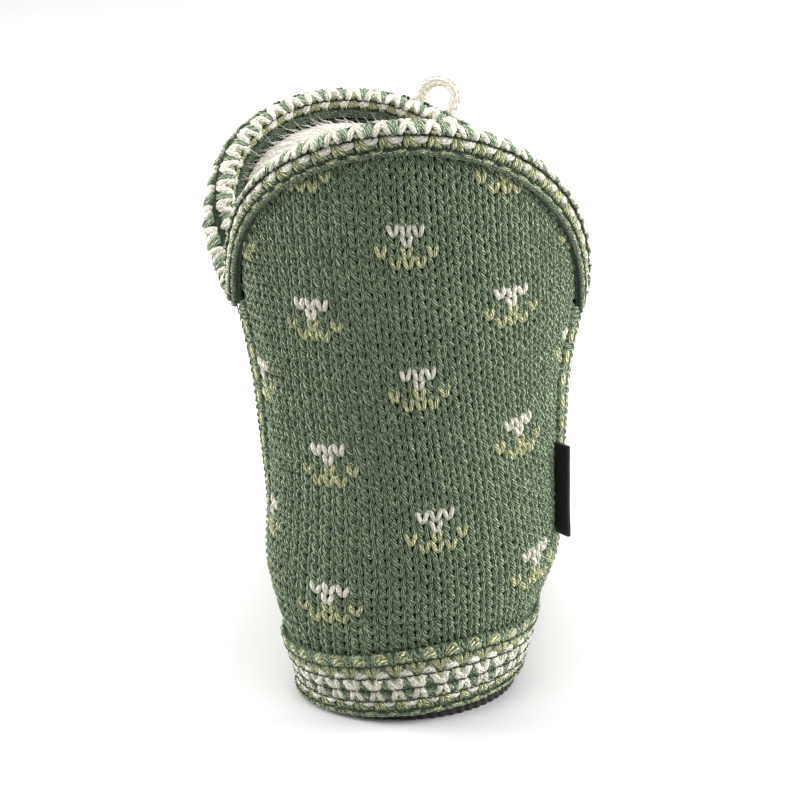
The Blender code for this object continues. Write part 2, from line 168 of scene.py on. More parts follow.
# %% Sizes of the shoe
MM = 0.001
SOLE_LENGTH, BALL_WIDTH, HEEL_BACK = 250.0, 92.0, 34.0
OUTSOLE_THICKNESS, INSOLE_THICKNESS, INSOLE_CLEARANCE = 6.0, 5.0, 0.7
WALL, GAP = 3.0, 0.3
BACK_TAB, FRONT_TAB = 171.6, 172.8
BACK_CREST_SHIFT, FRONT_CREST_SHIFT = 0.03, 0.15
BACK_FULLNESS, FRONT_FULLNESS = 0.215, 0.46
OUTER_DIP, INNER_DIP = 112.0, 117.5
OUTER_DIP_BULGE, INNER_DIP_BULGE = 0.8, 2.6
DIP_ROUNDING, DIP_REACH = 0.13, 0.16
TAPE_WIDTH, TAPE_THICKNESS = 17.0, 2.4
BINDING_LEG, BINDING_RISE = 5.7, 1.6
BAND_HEIGHT, BAND_LOW_EDGE = 17.0, 2.8
BAND_HEEL_RISE, BAND_HEEL_AT, BAND_HEEL_SPREAD = 3.4, 0.22, 0.45
BAND_TILT, BAND_TILT_END = 0.07, 70.0
LOOP_CORD, LOOP_WIDTH, LOOP_STAND = 4.4, 13.8, 9.8
LOOP_ROOT, LOOP_STEP_IN, LOOP_SIDE = 14.0, 5.0, 10.0
LABEL_BOTTOM, LABEL_HEIGHT, LABEL_DEPTH, LABEL_THICKNESS = 46.0, 27.0, 6.5, 1.3
LABEL_BACK_OF_SEAM, LABEL_TURN = 10.8, 55.0
ARCH_RISE, ARCH_FROM, ARCH_TO = 1.4, 0.30, 0.52
SPRING_LEVEL = 0.9
SEAM_Y = 6.0
SHAFT_LEAN, LEAN_FROM, LEAN_KEEPS_TO, LEAN_FADES_OVER = 3.4, 20.0, 60.0, 110.0
NET_STEP, NET_QUARTER, OUTLINE_SAMPLES = 2.0, 60, 241

Section = namedtuple(
    "Section",
    "height back front_height reach toe_in heel_out heel_in waist_out waist_in ball_out ball_in"
    " heel_round toe_round lift",
)
SECTIONS = (
    Section(6.3, -2.6, 13.3, 0.974, 10, 0.330, 0.343, 0.370, 0.312, 0.425, 0.460, 31, 62, 7.0),
    Section(24.0, 0.4, 31.0, 0.982, 10, 0.391, 0.399, 0.415, 0.365, 0.450, 0.485, 34, 62, 4.0),
    Section(40.0, 3.2, 46.5, 0.945, 8, 0.456, 0.432, 0.447, 0.404, 0.435, 0.445, 38, 62, 2.0),
    Section(56.0, 4.0, 60.0, 0.800, 6, 0.462, 0.420, 0.458, 0.412, 0.405, 0.410, 40, 60, 1.4),
    Section(74.0, 3.4, 74.0, 0.605, 4, 0.468, 0.425, 0.468, 0.425, 0.405, 0.390, 42, 54, 1.0),
    Section(92.0, 3.4, 94.5, 0.448, 2, 0.482, 0.441, 0.484, 0.443, 0.455, 0.428, 45, 48, 1.0),
    Section(112.0, 5.5, 117.0, 0.362, 1, 0.528, 0.471, 0.532, 0.478, 0.520, 0.525, 48, 46, 1.0),
    Section(135.0, 8.5, 136.0, 0.342, 3, 0.544, 0.504, 0.556, 0.506, 0.545, 0.612, 49, 46, 1.0),
    Section(155.0, 10.0, 151.0, 0.345, 6, 0.550, 0.515, 0.560, 0.515, 0.525, 0.642, 50, 46, 1.0),
    Section(180.0, 11.0, 168.0, 0.350, 8, 0.545, 0.510, 0.550, 0.507, 0.520, 0.642, 51, 46, 1.0),
)
BASE = SECTIONS[0].height
print("the upper runs from", BASE, "to", SECTIONS[-1].height, "mm")


# %% Rings
def ease(t):
    """0 to 1 with level ends."""
    t = np.clip(t, 0.0, 1.0)
    return t * t * (3.0 - 2.0 * t)


def lengths(points):
    """Length along a line of points, from its first one."""
    return np.concatenate([[0.0], np.cumsum(np.linalg.norm(np.diff(points, axis=0), axis=1))])


def section_at(height):
    """The ring's sizes at any height, on a smooth curve through the rows of SECTIONS."""
    rows = np.array(SECTIONS, float)
    knots = rows[:, 0]
    slopes = np.gradient(rows, knots, axis=0)
    low = int(np.clip(np.searchsorted(knots, height) - 1, 0, len(knots) - 2))
    span = knots[low + 1] - knots[low]
    t = (height - knots[low]) / span
    start = rows[low] * (1 + 2 * t) + span * slopes[low] * t
    end = rows[low + 1] * (3 - 2 * t) - span * slopes[low + 1] * (1 - t)
    return Section(*(start * (1 - t) ** 2 + end * t * t))


def half_outline(size, side):
    """One side of a ring (1 outer, -1 inner), from its back to its front, as an array of points."""
    t = (1.0 - np.cos(np.linspace(0.0, math.pi, OUTLINE_SAMPLES))) / 2.0
    heel, waist, ball = (size.heel_out, size.waist_out, size.ball_out)
    if side < 0:
        heel, waist, ball = (size.heel_in, size.waist_in, size.ball_in)
    back = -HEEL_BACK - size.back
    length = size.reach * SOLE_LENGTH - HEEL_BACK - back
    # the heel's width holds to 12% of the ring, the waist's is reached at 40% and the ball's at 70%
    width = heel + (waist - heel) * ease((t - 0.12) / 0.28) + (ball - waist) * ease((t - 0.40) / 0.30)
    from_back = np.clip(t * length / size.heel_round, 0.0, 1.0)
    from_front = np.clip((1.0 - t) * length / size.toe_round, 0.0, 1.0)
    closing = np.sqrt((1.0 - (1.0 - from_back) ** 2) * (1.0 - (1.0 - from_front) ** 2))
    lean = SHAFT_LEAN * max(size.height - LEAN_FROM, 0.0) / (BACK_TAB - LEAN_FROM)
    leaning = 1.0 - ease((t * size.reach * SOLE_LENGTH - LEAN_KEEPS_TO) / LEAN_FADES_OVER)
    x = side * BALL_WIDTH * width * closing + lean * leaning - size.toe_in * ease((t - 0.35) / 0.65)
    z = size.height + (size.front_height - size.height) * t**size.lift
    return np.column_stack([x, back + t * length, z])


def spread(points, start, end):
    """NET_QUARTER + 1 points at even steps along a polyline, between two values of y."""
    along = lengths(points)
    stops = np.linspace(*np.interp([start, end], points[:, 1], along), NET_QUARTER + 1)
    return np.column_stack([np.interp(stops, along, column) for column in points.T])


def ring(height):
    """A closed ring of NET_QUARTER points in each quarter: back, outer seam, front, inner seam."""
    outer, inner = (half_outline(section_at(height), side) for side in (1, -1))
    outer_back, inner_back = (spread(line, line[0, 1], SEAM_Y) for line in (outer, inner))
    outer_front, inner_front = (spread(line, SEAM_Y, line[-1, 1]) for line in (outer, inner))
    return np.concatenate([outer_back[:-1], outer_front[:-1], inner_front[:0:-1], inner_back[:0:-1]])


NET = np.array([ring(h) for h in np.arange(BASE, SECTIONS[-1].height + 3 * NET_STEP, NET_STEP)])
print("net of the surface:", NET.shape)


# %% The surface through the rings
def surface(q, height):
    """Point of the upper's outer face. q goes round the shoe from the back (0) over the outer seam (1),
    the front (2) and the inner seam (3) to the back again (4), and height picks the ring. Below the
    lowest ring the face goes straight down."""
    q, height = np.broadcast_arrays(np.asarray(q, float), np.asarray(height, float))
    column = np.mod(q, 4.0) * NET_QUARTER
    row = np.clip((height - BASE) / NET_STEP, 0.0, len(NET) - 1.001)
    low_row = row.astype(int)
    low_column = column.astype(int) % (4 * NET_QUARTER)
    next_column = (low_column + 1) % (4 * NET_QUARTER)
    across = (column - np.floor(column))[..., None]
    up = (row - low_row)[..., None]
    lower = NET[low_row, low_column] * (1 - across) + NET[low_row, next_column] * across
    upper = NET[low_row + 1, low_column] * (1 - across) + NET[low_row + 1, next_column] * across
    point = lower * (1 - up) + upper * up
    point[..., 2] += np.minimum(height - BASE, 0.0)
    return point


def slopes_at(q, height):
    """How the surface moves with q and with height."""
    dq, dh = 0.02, 1.5
    above, below = height + dh, np.maximum(height - dh, BASE)
    along = (surface(q + dq, height) - surface(q - dq, height)) / (2 * dq)
    return along, (surface(q, above) - surface(q, below)) / (above - below)[..., None]


def offset(q, height, out):
    """The surface moved out along its normal (in, where out is negative)."""
    q, height, out = np.broadcast_arrays(q, np.asarray(height, float), np.asarray(out, float))
    normal = unit(np.cross(*slopes_at(q, np.maximum(height, BASE))))
    return surface(q, height) + normal * out[..., None]


print("back of the heel's lowest ring:", np.round(surface(0.0, BASE), 1))

# %% [markdown]
# ## Edges on the surface
# The collar's edge is one curve over q: a cosine, flattened to a broad tab behind and in front, and tight at
# the seams. A trim that follows an edge has to keep its width where the edge is steep, so below_edge steps
# square to it on the curved surface. The band and the side tapes get rules of the same kind.

# %% The collar's edge
def by_side(q, outer, inner):
    """A size that goes from its value at the outer seam to its value at the inner one."""
    return inner + (outer - inner) * (1.0 + np.sin(q * math.pi / 2)) / 2


def edge_height(q):
    """Height of the collar's edge: a tab behind and in front, and a tight dip at each side seam."""
    q = np.asarray(q, float)
    in_front = np.mod(q + 1.0, 4.0) >= 2.0
    crest = np.where(in_front, FRONT_CREST_SHIFT, -BACK_CREST_SHIFT) * np.cos(q * math.pi / 2)
    level = np.cos((q + crest) * math.pi / 2) ** 2
    round_off = DIP_ROUNDING**2
    fullness = np.where(in_front, FRONT_FULLNESS, BACK_FULLNESS)
    rise = (level + round_off) ** fullness - round_off**fullness
    full = (1 + round_off) ** fullness - round_off**fullness
    dip = by_side(q, OUTER_DIP, INNER_DIP)
    return dip + (np.where(in_front, FRONT_TAB, BACK_TAB) - dip) * rise / full


def near_dip(q):
    """1 at the side seams, falling to 0 on either side of them."""
    return np.exp(-((np.abs(np.mod(q, 2.0) - 1.0) / DIP_REACH) ** 2))


def below_edge(q, down):
    """q and height of the point that lies on the surface a distance down from the edge, square to it."""
    dq = 0.004
    tangent = np.stack([np.full_like(q, 2 * dq), edge_height(q + dq) - edge_height(q - dq)])
    along, up = slopes_at(q, edge_height(q))
    e, f, g = (along * along).sum(-1), (along * up).sum(-1), (up * up).sum(-1)
    turned = np.stack([f * tangent[0] + g * tangent[1], -(e * tangent[0] + f * tangent[1])])
    size = np.sqrt(e * turned[0] ** 2 + 2 * f * turned[0] * turned[1] + g * turned[1] ** 2)
    return q + down * turned[0] / size, edge_height(q) + down * turned[1] / size


print("collar: dips at", edge_height(1.0), edge_height(3.0), "mm")


# %% The side seams and the band
def seam_position(seam, height, forward):
    """q of a point that lies forward of a side seam (back, where negative) along its ring."""
    away, step = 1 if seam == 1 else -1, 0.05
    here = surface(seam, height)
    ahead, behind = (
        np.linalg.norm(surface(seam + way * away * step, height) - here, axis=-1) / step for way in (1, -1)
    )
    return seam + away * np.where(forward > 0, forward / ahead, forward / behind)


def band_low_edge(q):
    """Height of the sole band's lower edge."""
    base = surface(q, BASE)
    return BAND_LOW_EDGE + BAND_TILT * base[..., 0] * (1 - ease(base[..., 1] / BAND_TILT_END))


def band_height(q):
    """Height of the sole band, which is taller behind the heel."""
    from_heel = np.mod(q + 2.0, 4.0) - 2.0 - BAND_HEEL_AT
    return BAND_HEIGHT + BAND_HEEL_RISE * np.exp(-((from_heel / BAND_HEEL_SPREAD) ** 2))


def under_binding(seam, forward):
    """Height just under the binding's lower edge, at a distance forward of a side seam."""
    leg_q, leg_height = below_edge(np.linspace(0.0, 4.0, 1601), BINDING_LEG + 3 * GAP)
    height = np.array(OUTER_DIP)
    for _ in range(6):
        height = np.interp(seam_position(seam, height, forward), leg_q, leg_height)
    return height


print("sole band behind the heel:", round(float(band_height(0.0)), 1), "mm tall")

# %% [markdown]
# ## Helpers for meshes
# A skin over rows of points is the simplest way to make a wall, a tape or a tube in code. Each row is a
# closed loop, and neighbouring rows are joined by quads. The first and last rows are joined to each other,
# closed with a ladder of faces where they are long and thin, or capped with one face where they are small.

# %% Skin and piece
def skin(rows, ends):
    """Points and faces over rows of closed loops. ends is "joined", "runged" or "capped"."""
    rows = np.array(rows)
    count, width = rows.shape[:2]
    low = np.arange(count if ends == "joined" else count - 1)[:, None]
    column = np.arange(width)[None, :]
    high, right = (low + 1) % count, (column + 1) % width
    corners = [low * width + column, low * width + right, high * width + right, high * width + column]
    faces = np.stack(corners, axis=-1).reshape(-1, 4).tolist()
    rungs = [(k, k + 1, (width - k - 1) % width, (width - k) % width) for k in range(width // 2)]
    closing = {"joined": [], "runged": rungs, "capped": [range(width)]}[ends]
    for first, way in ((0, -1), ((count - 1) * width, 1)):
        faces += [[first + corner for corner in dict.fromkeys(loop)][::way] for loop in closing]
    return rows.reshape(-1, 3), faces


def new_mesh(name, points, faces):
    """A smooth mesh from points in millimetres."""
    mesh = bpy.data.meshes.new(name)
    mesh.from_pydata((np.asarray(points) * MM).tolist(), [], faces)
    mesh.shade_smooth()
    return mesh


def new_piece(name, rows, ends, material):
    """An object with a skin over rows of points in millimetres."""
    obj = bpy.data.objects.new(name, new_mesh(name, *skin(rows, ends)))
    obj.data.materials.append(material)
    bpy.context.scene.collection.objects.link(obj)
    return obj


def settle(obj, slot, *nodes):
    """The finished piece rides on the shoe and hides the solids it stands for. slot is not used."""
    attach(obj, "root")
    if nodes:
        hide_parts(*nodes)
    obj.data.calc_loop_triangles()
    print(obj.name, len(obj.data.loop_triangles), "triangles")


# %% [markdown]
# ## Yarn
# Wool yarn is matt, a little fuzzy, and spun: fine strands run round it as a screw thread does. Each stitch
# carries its own colour in an attribute called dye, so one material serves every colour of the knitting.
# A fine noise on the object's coordinates gives the heather, and a wave that follows the strand's own
# map, along it and round it, gives the twist: a bump, with painted shade in the grooves between the strands
# and painted highlights on them. Sheen stands for the short fibres that stick out.

# %% Nodes in a line each
def add(tree, kind, inputs, **settings):
    """A new node. Each of its inputs, by name or number, takes a value or another node's output."""
    node = tree.nodes.new(kind)
    for name, value in settings.items():
        setattr(node, name, value)
    for key, value in inputs.items():
        if isinstance(value, bpy.types.NodeSocket):
            tree.links.new(value, node.inputs[key])
        else:
            node.inputs[key].default_value = value
    return node


def math_node(tree, operation, first, second=0.0):
    """A Math node of two values, each a socket or a number."""
    return add(tree, "ShaderNodeMath", {0: first, 1: second}, operation=operation).outputs[0]


def noise(tree, scale, detail=3.0, stretch=None):
    """Noise on the object's coordinates, with its scale in waves a metre."""
    source = add(tree, "ShaderNodeTexCoord", {}).outputs["Object"]
    if stretch:
        source = add(tree, "ShaderNodeMapping", {"Vector": source, "Scale": stretch}).outputs["Vector"]
    inputs = {"Vector": source, "Scale": scale, "Detail": detail}
    return add(tree, "ShaderNodeTexNoise", inputs).outputs["Fac"]


def with_alpha(value):
    """A grey number or a colour with its alpha. A socket stays as it is."""
    if isinstance(value, (int, float)):
        return (value, value, value, 1)
    return (*value, 1) if isinstance(value, tuple) else value


def ramp(tree, source, *stops):
    """A colour ramp over a value: each stop is a place and a grey or a colour."""
    node = add(tree, "ShaderNodeValToRGB", {"Fac": source})
    while len(node.color_ramp.elements) < len(stops):
        node.color_ramp.elements.new(0.5)
    for element, (place, colour) in zip(node.color_ramp.elements, stops):
        element.position, element.color = place, with_alpha(colour)
    return node.outputs["Color"]


def mixed(tree, factor, first, second, blend="MIX"):
    """A grey or colour between two others, each a socket or a number."""
    inputs = {"Factor": factor, "A": with_alpha(first), "B": with_alpha(second)}
    return add(tree, "ShaderNodeMix", inputs, data_type="RGBA", blend_type=blend).outputs["Result"]


def tinted(tree, colour, factor):
    """A colour times a factor, which may be a grey."""
    return mixed(tree, 1.0, colour, factor, "MULTIPLY")


def bump(tree, shader, height, distance):
    """Bump from a height, with its depth in metres."""
    node = add(tree, "ShaderNodeBump", {"Height": height, "Distance": distance, "Strength": 1.0})
    tree.links.new(node.outputs["Normal"], shader.inputs["Normal"])


# %% Finishes of cloth
SHEEN_TINT = (0.70, 0.86, 0.64, 1)
GREEN = (0.074, 0.100, 0.057)
WHITE = (0.62, 0.585, 0.505)
PISTACHIO = (0.310, 0.312, 0.158)
CREAM = (0.90, 0.83, 0.71)


def cloth(name, roughness, sheen=0.0):
    """A matt material with the soft sheen of short fibres, its tree and its shader."""
    sockets = {"Roughness": roughness, "Specular IOR Level": 0.25, "Sheen Weight": sheen}
    return new_material(name, {**sockets, "Sheen Roughness": 0.45, "Sheen Tint": SHEEN_TINT})


def mottled(name, roughness, sheen, dark, light, colour_noise, bump_noise, depth, light_at=0.7):
    """A matt material that a noise mottles between two colours, with a fine bump."""
    material, tree, shader = cloth(name, roughness, sheen)
    shade = ramp(tree, noise(tree, *colour_noise), (0.3, dark), (light_at, light))
    tree.links.new(shade, shader.inputs["Base Color"])
    bump(tree, shader, noise(tree, *bump_noise), depth)
    return material


def yarn(name, strands, pitch, heather):
    """Spun yarn whose colour is the attribute dye. strands is how many run round it, pitch their rise in
    millimetres, and heather how much the colour varies. The twist darkens the colour with painted shade in
    the grooves and lifts it with painted highlights on the strands. Light yarn shows less of its twist than
    dark."""
    material, tree, shader = cloth(name, 0.9, 0.62)
    dye = add(tree, "ShaderNodeAttribute", {}, attribute_name="dye").outputs
    strand = add(tree, "ShaderNodeUVMap", {}, uv_map="strand").outputs["UV"]
    parts = add(tree, "ShaderNodeSeparateXYZ", {"Vector": strand}).outputs
    rise = math_node(tree, "MULTIPLY", parts["X"], 2 * math.pi / pitch)
    turn = math_node(tree, "MULTIPLY", parts["Y"], 2 * math.pi * strands)
    loose = math_node(tree, "MULTIPLY", noise(tree, 1200.0), 7.0)
    phase = math_node(tree, "ADD", math_node(tree, "SUBTRACT", rise, turn), loose)
    # ply is 1 on a strand and 0 in the groove between two
    wave = math_node(tree, "MULTIPLY", math_node(tree, "SINE", phase), 0.5)
    ply = math_node(tree, "ADD", wave, 0.5)
    pale = ramp(tree, dye["Fac"], (0.14, 0.0), (0.55, 0.8))
    heathered = ramp(tree, noise(tree, 1700.0), (0.3, 1.0 - heather), (0.7, 1.0 + heather))
    # painted shade: the colour darkens in the grooves between the strands, and a painted highlight lifts it on
    # their crests
    groove = mixed(tree, pale, ramp(tree, ply, (0.0, 0.02), (0.40, 0.66), (0.8, 1.2)), 1.0)
    # painted highlights: spots on the strands' crests are made paler, as single hairs catch the light there,
    # far more on dark yarn than on light
    highlight_spots = ramp(tree, noise(tree, 1300.0), (0.40, 0.0), (0.60, 1.0))
    painted_highlight = math_node(tree, "MULTIPLY", ramp(tree, ply, (0.62, 0.0), (0.95, 1.0)), highlight_spots)
    highlight_gain = mixed(tree, painted_highlight, 1.0, ramp(tree, dye["Fac"], (0.12, 4.4), (0.35, 1.30), (0.7, 1.1)))
    # the base colour carries the painted shade of the grooves and the painted highlights of the strands
    body = tinted(tree, tinted(tree, dye["Color"], heathered), groove)
    tree.links.new(tinted(tree, body, highlight_gain), shader.inputs["Base Color"])
    fuzz = math_node(tree, "MULTIPLY", noise(tree, 5200.0, 2.0), 0.9)
    bump(tree, shader, math_node(tree, "ADD", ply, fuzz), 0.00022)
    return material


wool = yarn("wool_yarn", 6, 1.7, 0.40)
print("materials:", wool.name)

# %% [markdown]
# ## The stitch, and a tree that lays copies of it
# A knitted stitch shows as a V of two legs. Each leg is a short bent tube that comes out from behind the
# stitch below, bulges, and goes in under the stitch above. The leg is modelled once, from a few points and
# radii, with few faces. A Geometry Nodes tree then puts a copy on every point it is given: the point says
# which template to take, how it is turned and how large it is. Realize Instances makes them one real mesh.

# %% Bent tube as a template
templates = bpy.data.collections.new("templates")


def strand_template(name, path, radii, sides, flatten=1.0):
    """A tube through the points of a path in millimetres, with its own map: along it and round it."""
    path = np.array(path, float)
    ahead = np.concatenate([path[1:], path[-1:]]) - np.concatenate([path[:1], path[:-1]])
    side = unit(np.cross(ahead, [0.0, 0.0, 1.0]))
    out = unit(np.cross(side, ahead))
    turns = ((np.arange(sides) + 0.5) * 2 * math.pi / sides)[None, :, None]
    round_it = side[:, None] * np.cos(turns) + out[:, None] * np.sin(turns) * flatten
    rows = path[:, None] + np.array(radii)[:, None, None] * round_it
    mesh = new_mesh(name, *skin(rows, "capped"))
    u, v = lengths(path), np.arange(sides + 1) / sides
    corners = ((0, 0), (0, 1), (1, 1), (1, 0))
    quads = [(k, m) for k in range(len(path) - 1) for m in range(sides)]
    uvs = [(u[k + i], v[m + j]) for k, m in quads for i, j in corners]
    uvs += [(u[0], 0.0)] * sides + [(u[-1], 0.0)] * sides
    layer = mesh.uv_layers.new(name="strand")
    layer.data.foreach_set("uv", np.array(uvs, np.float32).ravel())
    templates.objects.link(bpy.data.objects.new(name, mesh))


def upright(*points):
    """A path that stands in the plane across the wall, from its heights and depths."""
    return [(0, tall, out) for tall, out in points]


STITCH_WIDE, STITCH_TALL = 3.6, 2.95
LEG_RADII = (0.44, 0.77, 0.85, 0.75, 0.38)
LEFT_LEG = (
    (-0.02, -2.50, -0.50), (-0.34, -1.4, 0.14), (-0.84, -0.1, 0.46), (-1.18, 1.05, 0.30), (-1.36, 2.0, -0.50)
)
RIGHT_LEG = (
    (0.58, -2.45, -0.55), (0.84, -1.35, 0.10), (1.16, -0.1, 0.38), (1.34, 1.05, 0.24), (1.42, 2.0, -0.50)
)
THIN_LEFT = (
    (-0.30, -2.15, -0.25), (-0.42, -1.3, 0.34), (-0.74, -0.1, 0.70), (-1.10, 1.1, 0.55), (-1.42, 2.1, -0.3)
)
THIN_RIGHT = (
    (0.36, -2.15, -0.25), (0.58, -1.3, 0.32), (0.94, -0.1, 0.66), (1.28, 1.05, 0.50), (1.56, 2.1, -0.3)
)
MOON_X = (-1.95, -1.45, -0.6, 0.6, 1.45, 1.95)
MOON_TALL = [0.95 * math.sqrt(max(1.0 - (x / 2.0) ** 2, 0.06)) for x in MOON_X]
MOON_PATH = [(x, tall, 0.25) for x, tall in zip(MOON_X, MOON_TALL)]
THREAD_PATH = ((-1.2, 0, 0.45), (-0.4, 0.04, 0.92), (0.5, -0.04, 0.92), (1.2, 0, 0.45))
BAR_PATH = ((-1.75, 0.2, 0.05), (-0.9, -0.1, 0.25), (0, -0.2, 0.3), (0.9, -0.1, 0.25), (1.75, 0.2, 0.05))
TEMPLATES = (
    ("leg_left", LEFT_LEG, LEG_RADII, 6),
    ("leg_right", RIGHT_LEG, [radius * 0.86 for radius in LEG_RADII], 6),
    ("lobe", upright((-1.7, -0.1), (-0.9, 0.2), (0, 0.3), (0.9, 0.2), (1.7, -0.1)),
     (0.66, 0.98, 1.06, 1.02, 0.70), 6, 0.66),
    ("half_moon", MOON_PATH, [tall * 1.08 for tall in MOON_TALL], 6, 0.7),
    ("thin_strand", upright((-1.6, 0.0), (-0.5, 0.3), (0.6, 0.3), (1.6, 0.0)), (0.30, 0.46, 0.50, 0.34), 5),
    ("bar", BAR_PATH, (0.38, 0.66, 0.74, 0.66, 0.38), 5, 0.75),
    ("ground_strand", upright((-1.5, -0.1), (0.0, 0.45), (1.5, -0.1)), (0.34, 0.54, 0.34), 4),
    ("thread", THREAD_PATH, (0.13, 0.18, 0.18, 0.13), 3),
    ("hair", ((0, 0, 0), (0.3, 2.2, 0.8), (-0.1, 4.6, 1.1), (0.4, 7.4, 0.9)), (0.16, 0.13, 0.09, 0.03), 3),
    ("fibre", ((0, 0, 0), (0.1, 1.3, 0.9)), (0.05, 0.015), 3),
    ("thin_left", THIN_LEFT, (0.30, 0.58, 0.76, 0.72, 0.40), 6),
    ("thin_right", THIN_RIGHT, (0.30, 0.56, 0.74, 0.70, 0.40), 6),
    ("light_left", LEFT_LEG[:2] + LEFT_LEG[3:], (0.42, 0.74, 0.72, 0.34), 4),
    ("light_right", RIGHT_LEG[:2] + RIGHT_LEG[3:], (0.36, 0.64, 0.62, 0.30), 4),
)
LEGS, THIN_LEGS, LIGHT_LEGS = (0, 1), (10, 11), (12, 13)
LOBE, MOON, STRAND, BAR, GROUND_STRAND, THREAD, HAIR, FIBRE = range(2, 10)
for number, (name, *shape) in enumerate(TEMPLATES):
    strand_template(f"{number:02d}_{name}", *shape)


# %% The tree that lays the copies
def copies_tree():
    """Points in, one realized mesh out. kind picks the template; across and outward turn it; size scales it."""
    tree = bpy.data.node_groups.new("lay_copies", "GeometryNodeTree")
    named = (("Points", "Geometry"), ("Templates", "Collection"), ("Finish", "Material"))
    for name, kind in (*named, ("Unevenness", "Float"), ("Seed", "Int")):
        tree.interface.new_socket(name, in_out="INPUT", socket_type="NodeSocket" + kind)
    tree.interface.new_socket("Mesh", in_out="OUTPUT", socket_type="NodeSocketGeometry")

    def node(kind, inputs, output, **settings):
        return add(tree, kind, inputs, **settings).outputs[output]

    def read(name, kind="FLOAT_VECTOR"):
        return node("GeometryNodeInputNamedAttribute", {"Name": name}, "Attribute", data_type=kind)

    given = add(tree, "NodeGroupInput", {}).outputs
    points = node("GeometryNodeMeshToPoints", {"Mesh": given["Points"]}, "Points")
    children = {"Collection": given["Templates"], "Separate Children": True, "Reset Children": True}
    source = node("GeometryNodeCollectionInfo", children, "Instances")
    axes = {"Primary Axis": read("outward"), "Secondary Axis": read("across")}
    turn = node("FunctionNodeAxesToRotation", axes, "Rotation", primary_axis="Z", secondary_axis="X")
    low, high = (
        node("ShaderNodeVectorMath", {0: (way,) * 3, "Scale": given["Unevenness"]}, "Vector", operation="SCALE")
        for way in (-1.0, 1.0)
    )
    limits = {"Min": low, "Max": high, "Seed": given["Seed"]}
    wobble = node("FunctionNodeRandomValue", limits, "Value", data_type="FLOAT_VECTOR")
    by = node("FunctionNodeEulerToRotation", {"Euler": wobble}, "Rotation")
    rotations = {"Rotation": turn, "Rotate By": by}
    spin = node("FunctionNodeRotateRotation", rotations, "Rotation", rotation_space="LOCAL")
    which = {"Instance": source, "Pick Instance": True, "Instance Index": read("kind", "INT")}
    how = {"Points": points, "Rotation": spin, "Scale": read("size")}
    copies = node("GeometryNodeInstanceOnPoints", {**which, **how}, "Instances")
    real = node("GeometryNodeRealizeInstances", {"Geometry": copies}, "Geometry")
    finish = node("GeometryNodeSetMaterial", {"Geometry": real, "Material": given["Finish"]}, "Geometry")
    add(tree, "NodeGroupOutput", {"Mesh": finish})
    return tree


lay_copies = copies_tree()


def lay(name, points, across, outward, size, kind, dye, material, unevenness, seed):
    """Lays a copy of a template on every point, and returns them as one plain mesh object."""
    mesh = new_mesh(name + "_points", points, [])
    values = {
        "across": ("FLOAT_VECTOR", "vector", across),
        "outward": ("FLOAT_VECTOR", "vector", outward),
        "size": ("FLOAT_VECTOR", "vector", size),
        "dye": ("FLOAT_COLOR", "color", np.column_stack([dye, np.ones(len(points))])),
        "kind": ("INT", "value", kind),
    }
    for key, (data_type, field, value) in values.items():
        value = np.ascontiguousarray(value, np.int32 if data_type == "INT" else np.float32)
        mesh.attributes.new(key, data_type, "POINT").data.foreach_set(field, value.ravel())
    source = bpy.data.objects.new(name + "_points", mesh)
    bpy.context.scene.collection.objects.link(source)
    modifier = source.modifiers.new("lay", "NODES")
    modifier.node_group = lay_copies
    settings = {"Templates": templates, "Finish": material, "Unevenness": unevenness, "Seed": seed}
    for item in lay_copies.interface.items_tree:
        if item.in_out == "INPUT" and item.name in settings:
            modifier[item.identifier] = settings[item.name]
    graph = bpy.context.evaluated_depsgraph_get()
    made = bpy.data.meshes.new_from_object(source.evaluated_get(graph))
    for key in ("kind", "across", "outward", "size"):
        if key in made.attributes:
            made.attributes.remove(made.attributes[key])
    made.name = name
    bpy.data.objects.remove(source)
    obj = bpy.data.objects.new(name, made)
    bpy.context.scene.collection.objects.link(obj)
    return obj


print("inputs of the tree:", [item.name for item in lay_copies.interface.items_tree if item.in_out == "INPUT"])

# %% [markdown]
# ## Knitted panels
# The shaft and the heel are one panel behind the side seams, and the instep and toes another in front. A
# panel is a grid of stitches: wales are its columns and courses its rows. Behind, the wales stand upright
# and lean a little, as slack knitting does. In front, the courses fan out round the bend of the instep, and
# the wales run down over the toes. Each rule gives the q and height of any cell, and the cell's own axes
# come from its neighbours, so that every V lies flat on the wall and follows its wale.

# %% The pattern of the knitting
MOTIF = (".WWW.", "..W..", "G.G.G", ".GGG.")
REPEAT_WALES, REPEAT_COURSES = 16, 14


def motif_colour(wale, course):
    """Colour of a stitch. Sprigs stand in a half-drop repeat: one every REPEAT_WALES and REPEAT_COURSES."""
    for shift_wale, shift_course in ((0, 0), (REPEAT_WALES // 2, REPEAT_COURSES // 2)):
        w = (wale + shift_wale + REPEAT_WALES // 2) % REPEAT_WALES - REPEAT_WALES // 2
        c = (course + shift_course + REPEAT_COURSES // 2) % REPEAT_COURSES - REPEAT_COURSES // 2
        if abs(w) <= 2 and -2 <= c <= 1:
            return {"W": WHITE, "G": PISTACHIO, ".": GREEN}[MOTIF[1 - c][w + 2]]
    return GREEN


print("a sprig every", REPEAT_WALES, "wales and", REPEAT_COURSES, "courses")

# %% Where the back panel's stitches go
BACK_COURSE = 2.912
BACK_FIRST = 140.4
WALES_SWELL_AT, WALES_SWELL_OVER = 8.0, 4.5
closed_net = np.concatenate([NET, NET[:, :1]], axis=1)
net_steps = np.linalg.norm(np.diff(closed_net, axis=1), axis=2)
QUARTER_LENGTHS = net_steps.reshape(len(NET), 4, NET_QUARTER).sum(2)


def quarter_length(height, quarter):
    """Length of a ring's quarter: 0 is outer back, 1 outer front, 2 inner front and 3 inner back."""
    row = np.clip((np.asarray(height, float) - BASE) / NET_STEP, 0, len(NET) - 1.001)
    return np.interp(row, np.arange(len(NET)), QUARTER_LENGTHS[:, quarter])


